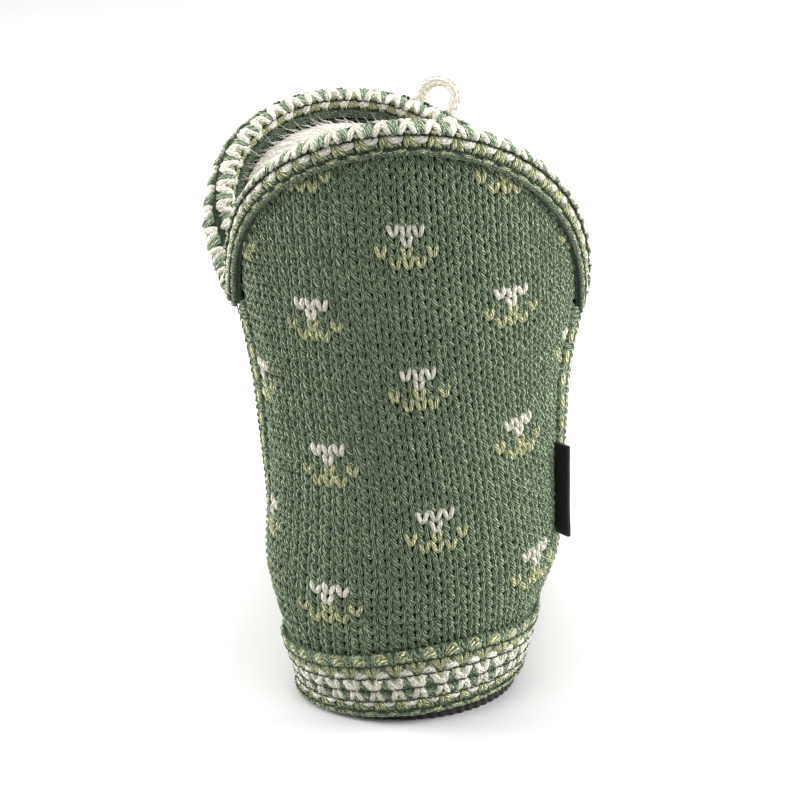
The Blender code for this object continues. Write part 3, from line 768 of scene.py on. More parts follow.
def back_cell(wale, course):
    """q and height of a cell of the back panel, counted from the middle of its topmost whole sprig. Each
    size of the grid is a short table over the height: the wales stand closer, and bend out less, higher up."""
    level = BACK_FIRST + (course + 0.5) * BACK_COURSE
    start = np.interp(level, [45.0, 70.0, 99.6, 140.0, 165.0], [10.2, 8.7, 5.5, 3.1, 2.3])
    pitch = np.interp(level, [40.0, 80.0], [3.62, 3.32])
    swell = np.interp(level, [40.0, 80.0], [0.239, 0.130])
    rise = np.interp(level, [40.0, 80.0, 119.0, 155.0], [0.075, 0.07, 0.02, -0.05])
    droop = np.interp(level, [60.0, 110.0, 160.0], [0.0, 0.0010, 0.0016])
    from_swell = (np.abs(wale) - WALES_SWELL_AT) / WALES_SWELL_OVER
    beyond = np.tanh(from_swell) + math.tanh(WALES_SWELL_AT / WALES_SWELL_OVER)
    side = (wale + np.sign(wale) * swell * WALES_SWELL_OVER * beyond) * pitch
    height = level + rise * side - droop * side**2
    around = start + side
    quarter = np.where(around > 0, quarter_length(height, 0), quarter_length(height, 3))
    return around / quarter, height


# %% Where the front panel's stitches go
FAN_CENTRE = (180.0, 205.0)
FAN_STEP = 2.75
FRONT_WALE = 3.7
FRONT_FIRST = 6.0
fan_q = np.linspace(1.0, 3.0, 401)
fan_heights = np.arange(BASE - 6.0, 182.0, 1.0)
fan_points = surface(fan_q[:, None], fan_heights[None, :])
fan_angle = np.arctan2(FAN_CENTRE[1] - fan_points[..., 2], FAN_CENTRE[0] - fan_points[..., 1])
fan_angle = np.maximum.accumulate(np.mod(fan_angle, 2 * math.pi)[:, ::-1], axis=1)[:, ::-1]
fan_angle = fan_angle - fan_heights * 1e-6
middle = len(fan_q) // 2
middle_along = lengths(fan_points[middle])
print("fan of the front courses:", np.degrees(fan_angle[middle, [-1, 0]]), "degrees at the front's middle")


def front_cells(wales, courses):
    """q and height of the cells of the front panel, at equal lengths along each of its fanned courses."""
    rows = []
    for course in courses:
        along = middle_along[-1] - FRONT_FIRST + course * FAN_STEP
        angle = np.interp(along, middle_along, fan_angle[middle])
        heights = np.array([np.interp(-angle, -column, fan_heights) for column in fan_angle])
        length = lengths(surface(fan_q, heights))
        places = wales * FRONT_WALE, length - length[middle]
        rows.append((np.interp(*places, fan_q), np.interp(*places, heights)))
    return np.moveaxis(np.array(rows), 1, 0)


# %% How far the knit stands out
LARGEST_STITCH, SMALLEST_STITCH = 5.0, 1.2
LIFT, LIFT_AT_SEAM, SEAM_ROUNDING = -0.30, -1.60, 6.5
UNDER_BINDING, UNDER_BAND, UNDER_TAPE = 1.4, 1.2, 1.0
leg_q, leg_height = below_edge(np.linspace(-0.5, 4.5, 2001), np.full(2001, BINDING_LEG - UNDER_BINDING))


def clear_of_trim(q, height):
    """Distance from a stitch to the nearest trim: the collar binding, the sole band or a side tape."""
    q = np.mod(q, 4.0)
    above_band = height - band_low_edge(q) - band_height(q) + UNDER_BAND
    near = np.minimum(np.interp(q, leg_q, leg_height) - height, above_band)
    for seam, behind, ahead in ((1, 0, 1), (3, 3, 2)):
        forward = (q - seam) * (1 if seam == 1 else -1)
        quarter = np.where(forward > 0, quarter_length(height, ahead), quarter_length(height, behind))
        near = np.minimum(near, np.abs(forward) * quarter - TAPE_WIDTH / 2 + UNDER_TAPE)
    return near


def puff(q, height):
    """How far the knit stands out of the wall: full inside a panel, and drawn in where it is sewn down."""
    share = np.clip(clear_of_trim(q, height) / SEAM_ROUNDING, 0.0, 1.0)
    return LIFT_AT_SEAM + (LIFT - LIFT_AT_SEAM) * np.sqrt(1.0 - (1.0 - share) ** 2)


print("puff of the knit at the middle of the back:", float(puff(0.0, 100.0)), "mm")


# %% Knitting a panel
def half_steps(cells):
    """Half steps round whole cells: before, on and after each of them."""
    return np.arange(2 * len(cells) + 1) / 2 + cells[0] - 0.5


def knit(name, cells, wales, courses, span, seed, legs=LEGS):
    """Lays the two legs of every stitch of a panel, between two values of q. cells gives the q and height
    of every half step of course and wale. A stitch of the pattern takes thinner legs than the green."""
    q, height = cells
    points = offset(q, height, puff(q, height))
    centre = points[1:-1:2, 1:-1:2]
    across = points[1:-1:2, 2::2] - points[1:-1:2, :-2:2]
    along = points[2::2, 1:-1:2] - points[:-2:2, 1:-1:2]
    outward = unit(np.cross(across, along))
    square = unit(np.cross(along, outward))
    wide, tall = np.abs((across * square).sum(-1)), np.linalg.norm(along, axis=-1)
    q, height = q[1:-1:2, 1:-1:2], height[1:-1:2, 1:-1:2]
    shown = (clear_of_trim(q, height) > 0.0) & (height > BASE) & (span[0] < q) & (q < span[1])
    shown &= (np.minimum(wide, tall) > SMALLEST_STITCH) & np.isfinite(centre).all(-1)
    wide, tall = np.minimum(wide, LARGEST_STITCH), np.minimum(tall, LARGEST_STITCH)
    colours = np.array([[motif_colour(int(w), int(c)) for w in wales] for c in courses])
    random = np.random.default_rng(seed)
    thin = colours[..., 0] > 2 * GREEN[0]
    colours = colours * (1.0 + random.uniform(-0.14, 0.14, colours.shape[:2] + (1,)))
    centre = centre + random.uniform(-0.13, 0.13, centre.shape)
    size = np.stack([wide / STITCH_WIDE, tall / STITCH_TALL, np.ones_like(wide)], axis=-1)
    twice = [np.concatenate([value[shown]] * 2) for value in (centre, square, outward, size, colours)]
    kind = np.concatenate([np.where(thin[shown], thin_leg, leg) for thin_leg, leg in zip(THIN_LEGS, legs)])
    print(name, int(shown.sum()), "stitches")
    return lay(name, *twice[:4], kind, twice[4], wool, 0.10, seed)


back_wales, back_courses = np.arange(-27, 28), np.arange(-46, 12)
back_grid = back_cell(*np.meshgrid(half_steps(back_wales), half_steps(back_courses)))
back_knit = knit("back_panel_knitting", back_grid, back_wales, back_courses, (-1.0, 1.0), 11)
settle(back_knit, "upper", "upper")

front_wales = np.arange(-42, 43)
FRONT_PARTS = (("front_shaft_knitting", -28, 0), ("instep_knitting", -56, -28), ("toe_knitting", -96, -56))
for part, (name, first, end) in enumerate(FRONT_PARTS):
    courses = np.arange(first, end)
    front_grid = front_cells(half_steps(front_wales), half_steps(courses))
    settle(knit(name, front_grid, front_wales, courses, (1.0, 3.0), 20 + part, LIGHT_LEGS), "upper")

# %% [markdown]
# ## The wall behind the stitches
# Between the legs of the stitches a knit shows its back, deep in shade. A thin closed shell does that: it is
# the same surface, set a little deeper than the stitches everywhere, and closed on its inner side. Its
# near-black green is painted shade, far darker than the yarn.

# %% Backing wall
BEHIND_STITCHES = 0.42
WALL_INSIDE = -2.9
AROUND = np.linspace(0.0, 4.0, 192, endpoint=False)
# painted shade: the shell's greens are far darker than the yarn, for the shade that falls between the stitches
BACKING_SHADE, BACKING_SHADE_DEEP = (0.032, 0.046, 0.031), (0.010, 0.016, 0.010)
backing = mottled("knit_backing", 1.0, 0.0, BACKING_SHADE_DEEP, BACKING_SHADE, (900.0,), (2600.0,), 0.0003, 0.75)


def wall_rows(out, low, down, rows):
    """Rows of a closed wall at a distance out of the surface, from a height up to a distance under the edge."""
    top_q, top_height = below_edge(AROUND, np.full_like(AROUND, down))
    made = []
    for t in np.linspace(0, 1, rows):
        here, level = AROUND + (top_q - AROUND) * ease(t), low + (top_height - low) * t
        made.append(offset(here, level, out(here, level) if callable(out) else out))
    return made


def behind_stitches(q, height):
    return puff(q, height) - BEHIND_STITCHES


rows = wall_rows(behind_stitches, BASE, 0.0, 46) + wall_rows(WALL_INSIDE, BASE, 0.0, 12)[::-1]
settle(new_piece("knit_backing", rows, "joined", backing), "upper")

# %% [markdown]
# ## Stray fibres
# Wool is never clean-edged: short fibres stand out of it and catch the light along the outline. They are
# laid at random over the panels, thinner than a tenth of a millimetre. Their grey-green is far paler than
# the yarn: partly the fibres' own tone, partly a painted sheen for the light haze along the outline.

# %% Stray fibres
FIBRES = 5200
# partly the fibres' own paler tone and partly painted sheen, which gives the light haze along the outline
FIBRE_TONE_AND_SHEEN = np.array([0.36, 0.41, 0.30])
random = np.random.default_rng(81)
fibre_q = random.uniform(-1.0, 3.0, FIBRES)
top_height = np.interp(np.mod(fibre_q, 4.0), leg_q, leg_height)
fibre_height = BASE + BAND_HEIGHT + (top_height - BASE - BAND_HEIGHT) * random.uniform(0.0, 1.0, FIBRES)
along, up_way = slopes_at(fibre_q, fibre_height)
along = unit(along)
outward = unit(np.cross(along, up_way))
turn = random.uniform(0, 2 * math.pi, FIBRES)[:, None]
across = along * np.cos(turn) + np.cross(outward, along) * np.sin(turn)
spots = offset(fibre_q, fibre_height, puff(fibre_q, fibre_height) + 0.6)
scale = random.uniform(0.6, 1.5, FIBRES)
size = np.column_stack([scale, scale, scale * random.uniform(0.3, 1.3, FIBRES)])
tone = FIBRE_TONE_AND_SHEEN * (1.0 + random.uniform(-0.3, 0.4, (FIBRES, 1)))
fibres = lay("stray_fibres", spots, across, outward, size, np.full(FIBRES, FIBRE), tone, wool, 0.3, 82)
settle(fibres, "upper")

# %% [markdown]
# ## Pile lining
# The shaft and foot are lined with cream pile. It is a second shell inside the wall, with a lumpy face, and
# the hairs that show at the collar are laid on it as thin bent strands. The insole is a pad of the same
# pile: a skin over the lowest ring, drawn in step by step towards the foot's middle line.

# %% Lining
LINING_TOP, LINING_OUTSIDE = 7.7, -3.05
PILE_IN_FOOT, PILE_MORE_AT_COLLAR = 7.6, 4.4
FLOOR_LEVEL = BASE + INSOLE_THICKNESS
CROWN = ((-5.0, -0.5), (-7.5, -0.3), (-10.0, 0.7))
pile, tree, shader = cloth("cream_pile", 1.0, 0.6)
tone = ramp(tree, noise(tree, 260.0, 4.0), (0.3, (0.84, 0.76, 0.69)), (0.7, (0.93, 0.88, 0.82)))
fine = ramp(tree, noise(tree, 1800.0, 3.0, (1.0, 1.0, 0.3)), (0.3, 0.7), (0.7, 1.15))
tree.links.new(tinted(tree, tone, fine), shader.inputs["Base Color"])
bump(tree, shader, noise(tree, 1500.0, 4.0, (1.0, 1.0, 0.35)), 0.0012)


def pile_depth(q, height):
    """How far in the pile stands: thick at the collar, and thinner down in the foot."""
    return -PILE_IN_FOOT - PILE_MORE_AT_COLLAR * ease((height - 80.0) / 40.0)


rows = wall_rows(LINING_OUTSIDE, FLOOR_LEVEL - 1.0, LINING_TOP, 8)
rows += [wall_rows(out, FLOOR_LEVEL, LINING_TOP + drop, 2)[-1] for out, drop in CROWN]
rows += wall_rows(pile_depth, FLOOR_LEVEL - 1.0, LINING_TOP + 2.2, 30)[::-1]
settle(new_piece("pile_lining", rows, "joined", pile), "insole")

# %% Insole pad
rim = -WALL - INSOLE_CLEARANCE
edge = offset(AROUND, BASE, rim)
middle_x = np.interp(edge[:, 1], [-40, 210], [0.0, -10.0])
centre = np.column_stack([middle_x, edge[:, 1] * 0.96 + 3.0, edge[:, 2]])
rows = [edge, offset(AROUND, BASE + INSOLE_THICKNESS * 0.6, rim)]
for share in (0.0, 0.04, 0.12, 0.3, 0.6, 0.9):
    rows.append(edge + (centre - edge) * share + [0.0, 0.0, INSOLE_THICKNESS])
insole = new_piece("insole_pile", rows, "runged", pile)
settle(insole, "insole", "insole")

# %% [markdown]
# ## Hairs of the pile
# The bump of a material can't break a silhouette, so the pile near the collar gets real hairs. They lie
# along the collar, as brushed pile does, with a few longer wisps that stand up over the dark courses above
# them. The seed is fixed, so every run grows the same hairs. Above the pile one course of the knit's
# inner side shows, as a row of short strands, darkened with painted shade for the inside of the collar.

# %% Hairs
HAIRS, WISPS = 3900, 70
HAIR_COLOUR = np.array([0.96, 0.90, 0.85])
hair_wool, tree, shader = cloth("pile_hair", 0.85, 0.5)
dye = add(tree, "ShaderNodeAttribute", {}, attribute_name="dye").outputs["Color"]
tone = ramp(tree, noise(tree, 700.0), (0.3, 0.88), (0.7, 1.08))
tree.links.new(tinted(tree, dye, tone), shader.inputs["Base Color"])


def along_wall(q, down, out):
    """Point, way along the collar, way up and way in, on the wall at a distance below its edge."""
    here = offset(*below_edge(q, down), out)
    ahead = unit(offset(*below_edge(q + 0.01, down), out) - offset(*below_edge(q - 0.01, down), out))
    above = unit(offset(*below_edge(q, down - 0.5), out) - here)
    return here, ahead, above, -np.cross(ahead, above)


# the hairs stand close under the lining's top, and thin out further down
random = np.random.default_rng(71)
over = random.uniform(0.0, 1.0, HAIRS)
hair_q = random.uniform(0.0, 4.0, HAIRS)
hair_deep = 4.5 + 7.0 * np.clip(over * 9.0, 0.0, 1.0) + random.uniform(-0.3, 0.3, HAIRS)
q = np.concatenate([hair_q, random.uniform(2.3, 3.3, WISPS)])
wisp_down = LINING_TOP + random.uniform(-0.5, 3.0, WISPS)
down = np.concatenate([LINING_TOP + 0.3 + 22.0 * over**1.6, wisp_down])
deep = np.concatenate([hair_deep, random.uniform(7.0, 11.0, WISPS)])
lean = np.concatenate([random.uniform(-0.25, 0.5, HAIRS), random.uniform(0.3, 1.3, WISPS)])[:, None]
scale = np.concatenate([random.uniform(0.7, 1.15, HAIRS), random.uniform(0.7, 1.2, WISPS)])
thick = np.repeat([1.1, 0.6], [HAIRS, WISPS])
size = np.column_stack([scale * thick, scale, random.uniform(0.4, 1.0, len(q))])
here, ahead, above, inward = along_wall(q, down, -deep)
across = np.cross(ahead * np.cos(lean) + above * np.sin(lean), inward)
tone = HAIR_COLOUR * (1.0 + np.random.default_rng(72).uniform(-0.12, 0.12, (len(q), 1)))
hairs = lay("pile_hairs", here, across, inward, size, np.full(len(q), HAIR), tone, hair_wool, 0.25, 72)
settle(hairs, "insole")

# %% Course inside the collar
INSIDE_STRANDS = 170
q = np.linspace(0.0, 4.0, INSIDE_STRANDS, endpoint=False)
here, ahead, above, inward = along_wall(q, np.full(len(q), 6.6), np.full_like(q, -3.3))
shades = np.random.default_rng(73).uniform(-0.2, 0.2, (len(q), 1))
# painted shade: the inside course is coloured darker than the yarn, for the shade inside the collar
tone = np.array([0.045, 0.075, 0.048]) * (1.0 + shades)
size = np.tile([0.9, 0.95, 0.9], (len(q), 1))
kind = np.full(len(q), GROUND_STRAND)
settle(lay("inside_courses", here, above, inward, size, kind, tone, wool, 0.1, 74), "upper")

# %% [markdown]
# ## Knitted tape
# A patterned tape binds the collar, covers the side seams and hides the joint with the sole. It has a plain
# green ground, and small shapes of white and pale green yarn lie on it between five dark lines of running
# stitch. The ground is a thin strip with rounded edges, and the shapes are laid on it from a short table.

# %% Ground of the band
CLOTH_NOISE, CLOTH_BUMP = (1300.0,), (2200.0,)
ground = mottled("tape_ground", 0.95, 0.3, (0.060, 0.085, 0.052), (0.125, 0.165, 0.102),
                 CLOTH_NOISE, CLOTH_BUMP, 0.0004)
# painted shade: the binding's ground is the band's tape, coloured near-black for the shade under and inside the
# collar's fold
shaded_ground = mottled("binding_ground", 0.95, 0.3, (0.010, 0.018, 0.010), (0.045, 0.062, 0.038),
                      CLOTH_NOISE, CLOTH_BUMP, 0.0004)
FACE_STEP = TAPE_THICKNESS - 0.7
FACE_OUT, BACK_OUT = GAP + FACE_STEP, GAP - 0.9
TAPE_EDGE = ((0.0, 0.0), (0.0, 0.45), (0.03, 0.8), (0.08, 1.0))
FACE_SHARES, UNDER_SHARES = np.linspace(0.08, 0.92, 10)[1:-1], np.linspace(1.0, 0.0, 10)[1:-1]
TAPE_PROFILE = (
    *TAPE_EDGE,
    *((share, 1.0) for share in FACE_SHARES),
    *((1.0 - share, rise) for share, rise in reversed(TAPE_EDGE)),
    *((share, 0.0) for share in UNDER_SHARES),
)


def band_place(around_q, across, out):
    """A point of the sole band: how far down it from its upper edge, and out from the wall."""
    q = np.asarray(around_q, float)
    return offset(q, band_low_edge(q) + band_height(q) * (1.0 - across / TAPE_WIDTH), out)


rows = [
    band_place(AROUND, TAPE_WIDTH * share, BACK_OUT + (FACE_OUT - BACK_OUT) * rise)
    for share, rise in TAPE_PROFILE[::-1]
]
settle(new_piece("sole_band_ground", rows, "joined", ground), "tape", "sole_band")

# %% Ground of the binding
FOLD_HALF = 4.0
BINDING_ACROSS = FOLD_HALF + BINDING_LEG
RIGHT_ANGLE = math.pi / 2


def binding_place(q, across, out_share=1.0):
    """A point of the folded collar binding: across it from the crest, outside (+) or inside (-)."""
    bulge = by_side(q, OUTER_DIP_BULGE, INNER_DIP_BULGE) * near_dip(q)
    turn = np.clip(np.abs(across) / FOLD_HALF, 0.0, 1.0)
    over = -BINDING_RISE * out_share * np.cos(turn * RIGHT_ANGLE)
    down = np.where(turn < 1.0, over, np.abs(across) - FOLD_HALF)
    reach = (WALL / 2 + GAP + FACE_STEP * out_share) * np.sin(turn * RIGHT_ANGLE) * np.sign(across)
    swell = bulge * np.clip(1.0 - np.abs(down / BINDING_LEG - 0.4) * 0.8, 0, 1)
    return offset(*below_edge(q, down), -WALL / 2 + reach + np.where(across > 0, swell, 0.0))


shares = np.linspace(-1.0, 1.0, 25)
face = [binding_place(AROUND, share * BINDING_ACROSS, 1.0 if abs(share) < 0.95 else 0.5) for share in shares]
under = [binding_place(AROUND, share * BINDING_ACROSS, 0.0) for share in shares]
binding = new_piece("collar_binding_ground", face[::-1] + under, "joined", shaded_ground)
settle(binding, "tape", "collar_binding")

# %% Ground of the side tapes
SIDE_TAPES = (("side_tape_outer", 1), ("side_tape_inner", 3))


def seam_place(seam, share, across, out):
    """A point of a side tape: its share of the way up, across it from its back edge, and out."""
    forward = np.asarray(across - TAPE_WIDTH / 2, float)
    at_base = seam_position(seam, np.full_like(forward, BASE), forward)
    bottom = band_low_edge(at_base) + band_height(at_base) + 2 * GAP
    height = bottom + (under_binding(seam, forward) - bottom) * share
    return offset(seam_position(seam, height, forward), height, out)


def side_tape_out(across, share):
    """How far a side tape's face stands out. It swells from both edges to its middle, and lies flatter at
    its foot, where the knit on both sides puffs up round it."""
    near_edge = np.minimum(across, TAPE_WIDTH - across)
    free = 0.25 + 0.75 * ease((share - 0.25) / 0.4)
    return GAP + (FACE_OUT - GAP) * np.sqrt(ease((near_edge + 0.8) / 6.0)) * free


spots = np.linspace(0.0, TAPE_WIDTH, 19)
across = np.concatenate([spots, spots[::-1]])
for node, seam in SIDE_TAPES:
    rows = []
    for share in np.linspace(0.0, 1.0, 40):
        out = np.concatenate([side_tape_out(spots, share), np.full_like(spots, BACK_OUT)])
        rows.append(seam_place(seam, share, across, out)[::1 if seam == 1 else -1])
    settle(new_piece(node + "_ground", rows, "runged", ground), "tape", node)

# %% [markdown]
# ## The yarn shapes on the tape
# One repeat of the pattern is a table: each line says which template, where it stands along and across the
# tape, how far it is turned, how long and wide it is, and its colour. The same table dresses the band, the
# side tapes and the binding, because each of them gives its own rule from along-and-across to a point.

# %% Table of the repeat
REPEAT = 6.35
THREADS = (3.0, 6.2, 9.35, 12.5, 15.4)
NIGHT = (0.010, 0.018, 0.013)
DEEP_GREEN = (0.125, 0.160, 0.100)
H = REPEAT / 2
Shape = namedtuple("Shape", "template along across turn wide long colour")
FAN_ACROSS = (4.45, 4.50, 4.70)
TAPE_SHAPES = (
    # pale half moons that stand on the first thread
    Shape(MOON, H, THREADS[0] - 0.15, 0, 1.06, 1.60, PISTACHIO),
    # pale fans that draw together at the second thread, and the white half moons between them
    Shape(STRAND, -1.65, FAN_ACROSS[0], 30, 0.95, 1.00, PISTACHIO),
    Shape(STRAND, -1.08, FAN_ACROSS[1], 20, 0.95, 1.04, PISTACHIO),
    Shape(STRAND, -0.48, FAN_ACROSS[2], 10, 0.95, 1.12, PISTACHIO),
    Shape(STRAND, 0.46, FAN_ACROSS[2], -8, 0.95, 1.12, PISTACHIO),
    Shape(STRAND, 1.05, FAN_ACROSS[1], -19, 0.95, 1.04, PISTACHIO),
    Shape(STRAND, 1.60, FAN_ACROSS[0], -29, 0.95, 1.00, PISTACHIO),
    Shape(MOON, H, THREADS[1] + 0.1, 0, 0.98, 1.05, WHITE),
    # white V with the tip of the fan in it
    Shape(LOBE, -1.42, 7.70, 20, 1.22, 1.04, WHITE),
    Shape(LOBE, 1.40, 7.70, -17, 1.22, 1.04, WHITE),
    Shape(LOBE, -0.50, 8.50, 14, 1.0, 0.55, WHITE),
    Shape(LOBE, 0.50, 8.50, -14, 1.0, 0.55, WHITE),
    Shape(STRAND, -0.25, 7.05, 14, 0.95, 0.55, PISTACHIO),
    Shape(STRAND, 0.22, 7.05, -14, 0.95, 0.55, PISTACHIO),
    # white feet under the V
    Shape(LOBE, -1.06, 10.95, -20, 0.98, 1.0, WHITE),
    Shape(LOBE, 1.06, 10.95, 22, 0.98, 1.0, WHITE),
    Shape(BAR, 0.05, 12.0, 0, 0.48, 0.75, PISTACHIO),
    # white half moons that hang from the fourth thread, and pairs of pale strands between them
    Shape(MOON, H, THREADS[3] + 0.12, 180, 0.95, 0.88, WHITE),
    Shape(STRAND, -0.75, 13.95, -8, 1.7, 0.80, PISTACHIO),
    Shape(STRAND, 0.95, 13.95, 30, 1.8, 0.92, PISTACHIO),
    # pale bars that hang from the fifth thread
    Shape(BAR, H + 0.2, 15.95, 0, 1.0, 0.85, PISTACHIO),
    # short strands of the green ground between all of these
    *(
        Shape(GROUND_STRAND, along, across, turn, 1.05, long, DEEP_GREEN)
        for across, long, turn, spots in (
            (4.4, 0.6, 24, (H - 0.6, H + 0.5)),
            (7.8, 1.0, 24, (H - 0.75, H + 0.05, H + 0.85)),
            (10.9, 1.0, 24, (H - 1.0, H - 0.2, H + 0.6)),
            (14.5, 0.5, 24, (H - 0.6, H + 0.5, 0.1)),
            (16.45, 0.75, 76, (-2.6, -1.0, 0.6, 2.2)),
        )
        for along in spots
    ),
    # two green courses along the upper edge
    *(
        Shape(leg, along, across, 0, 0.62, 0.52, DEEP_GREEN)
        for across in (0.85, 2.25)
        for along in (-2.2, 0.02, 2.25)
        for leg in LIGHT_LEGS
    ),
    # the running stitch
    *(Shape(THREAD, along, across, 0, 0.84, 1.0, NIGHT) for across in THREADS for along in (-2.22, 0.0, 2.22)),
)
print(len(TAPE_SHAPES), "strands in a repeat")

# %% Dressing a tape
SHEAR_FROM, SHEAR = 7.5, 0.20
END_ROOM = 0.6
dark_thread = mottled("dark_thread", 0.6, 0.0, (0.006, 0.012, 0.008), (0.020, 0.034, 0.024),
                      (2500.0,), (6000.0,), 0.0001)


def dress(name, place, length, seed, closed=True, across_range=(0.0, TAPE_WIDTH), without=(), more=()):
    """Lays the repeat along a tape of a length. place gives the point at along and across. without names
    the places across it whose shapes it doesn't show, and more adds shapes that only it has."""
    low, high = across_range
    rows = [shape for shape in TAPE_SHAPES if low <= shape.across <= high and shape.across not in without]
    template, cell_along, cell_across, turned, wide, long, dye = map(np.array, zip(*rows, *more))
    count = round(length / REPEAT)
    step = length / count
    random = np.random.default_rng(seed)
    cells = (np.arange(count) + 0.5)[:, None] * step
    sheared = cell_along + SHEAR * np.maximum(cell_across - SHEAR_FROM, 0.0)
    # a third sheet is drawn and not used, which keeps the later draws, and so the look, as they are
    loose = random.uniform(-0.14, 0.14, (3, count, len(template)))
    along = cells + sheared[None, :] * step / REPEAT + loose[0]
    across = cell_across[None, :] + loose[1]
    inside = np.ones_like(along, bool) if closed else (along > END_ROOM) & (along < length - END_ROOM)
    along, across = along[inside], across[inside]
    index = np.broadcast_to(np.arange(len(template))[None, :], inside.shape)[inside]
    point = place(along, across)
    ahead = place(along + 0.5, across) - place(along - 0.5, across)
    upward = place(along, across - 0.5) - place(along, across + 0.5)
    outward = unit(np.cross(ahead, upward))
    stretch = [np.linalg.norm(way, axis=-1) for way in (ahead, upward)]
    turn = np.radians(turned[index] + random.uniform(-4, 4, len(index)))[:, None]
    across_way = unit(ahead) * np.cos(turn) + unit(upward) * np.sin(turn)
    # past the end of a fold there is no way up, and a strand keeps the axes of its template
    across_way[stretch[1] == 0.0] = 0.0
    size = np.column_stack([wide[index], long[index], np.ones(len(index))])
    size *= np.column_stack([*stretch, np.ones(len(index))]).clip(0.5, 1.6)
    colour = dye[index] * (1.0 + random.uniform(-0.16, 0.16, (len(index), 1)))
    kind = template[index]
    for part, chosen, material in (("yarns", kind != THREAD, wool), ("threads", kind == THREAD, dark_thread)):
        picked = [value[chosen] for value in (point, across_way, outward, size, kind, colour)]
        settle(lay(f"{name}_{part}", *picked, material, 0.08, seed), "tape")


# %% Shapes of the band
ROUND_Q = np.linspace(0.0, 4.0, 2001)
BAND_SHIFT, BAND_SHIFT_FROM, BAND_SHIFT_OVER = 0.8, 9.0, 6.0
band_along = lengths(band_place(ROUND_Q, TAPE_WIDTH / 2, FACE_OUT))


def on_band(along, across):
    """The band's pattern. Its upper half sits a little higher, so a narrower green strip shows over it."""
    across = across - BAND_SHIFT * np.clip((BAND_SHIFT_FROM - across) / BAND_SHIFT_OVER, 0.0, 1.0)
    return band_place(np.interp(np.mod(along, band_along[-1]), band_along, ROUND_Q), across, FACE_OUT)


dress("sole_band", on_band, band_along[-1], 31)

# %% Shapes of the binding
# The tape is folded at its third thread. These two rows say how far a place on the tape lies from there,
# and where on the fold it comes to lie: the inside is the negative side.
FOLD_AT = (-7.6, -6.3, -3.15, 0.0, 3.15, 6.1, 7.6, 8.9)
FOLD_ACROSS = (-9.6, -8.3, -4.6, 0.0, 4.6, 8.2, 9.7, BINDING_ACROSS)
# painted shade: the tape's green darkened for the shade under the binding's edge and inside the collar
LOWER_EDGE_SHADE, INSIDE_SHADE = (0.045, 0.060, 0.038), (0.050, 0.068, 0.043)
BINDING_SHAPES = (
    # thick cords on both sides of the crest
    *(
        Shape(LOBE, H + along, across, turn, wide, long, DEEP_GREEN)
        for across, turn, wide, long, spots in (
            (10.9, 6, 0.70, 0.98, (-0.72, 0.42)),
            (7.8, 8, 0.62, 0.90, (-0.45, 0.50)),
        )
        for along in spots
    ),
    # the inside: pale tips, and a herringbone of three green rows under them, darkened as painted shade inside
    # the collar
    *(
        Shape(STRAND, along, 5.2, turn, 1.1, 0.55, PISTACHIO)
        for along, turn in ((-1.0, 20), (-0.3, 8), (0.4, -8), (1.0, -20))
    ),
    *(
        Shape(GROUND_STRAND, along + 0.5 * row, 1.9 + 0.7 * row, turn, 0.9, 0.60, INSIDE_SHADE)
        for row, turn in enumerate((66, -66, 66))
        for along in (-2.6, -1.3, 0.0, 1.3, 2.6)
    ),
    # the outside's lower edge, darkened as painted shade under the binding
    *(
        Shape(GROUND_STRAND, along + 0.4 * row, 16.7 + 0.75 * row, turn, 1.0, 0.62, LOWER_EDGE_SHADE)
        for row, turn in enumerate((24, -20, 18))
        for along in (-2.6, -1.55, -0.5, 0.55, 1.6, 2.65)
    ),
)
edge_along = lengths(binding_place(ROUND_Q, 0.0))


def on_binding(along, across):
    """The same tape folded over the collar's edge."""
    q = np.interp(np.mod(along, edge_along[-1]), edge_along, ROUND_Q)
    return binding_place(q, np.interp(across - THREADS[2], FOLD_AT, FOLD_ACROSS))


HIDDEN = (THREADS[2], *FAN_ACROSS)
dress("collar_binding", on_binding, edge_along[-1], 32, True, (3.6, 16.6), HIDDEN, BINDING_SHAPES)

# %% Shapes of the side tapes
half_width = np.array(TAPE_WIDTH / 2)
for name, seam in SIDE_TAPES:
    line = [seam_place(seam, share, half_width, FACE_OUT) for share in np.linspace(0.0, 1.0, 101)]
    seam_along = lengths(np.array(line))

    def on_side_tape(along, across):
        """A side tape, whose pattern runs up the outer seam and down the inner one."""
        share = along / seam_along[-1]
        share = share if seam == 1 else 1.0 - share
        return seam_place(seam, share, across, side_tape_out(across, share))

    dress(name, on_side_tape, seam_along[-1], 33 + seam, False)

# %% [markdown]
# ## Pull loop
# A round knitted cord in cream yarn, sewn to the outside of the front tab. Its core is a plain tube along a
# path: up one leg, over a half circle and down the other leg. Five wales of stitches stand round the core,
# because a cord this thin is knitted on a few needles.

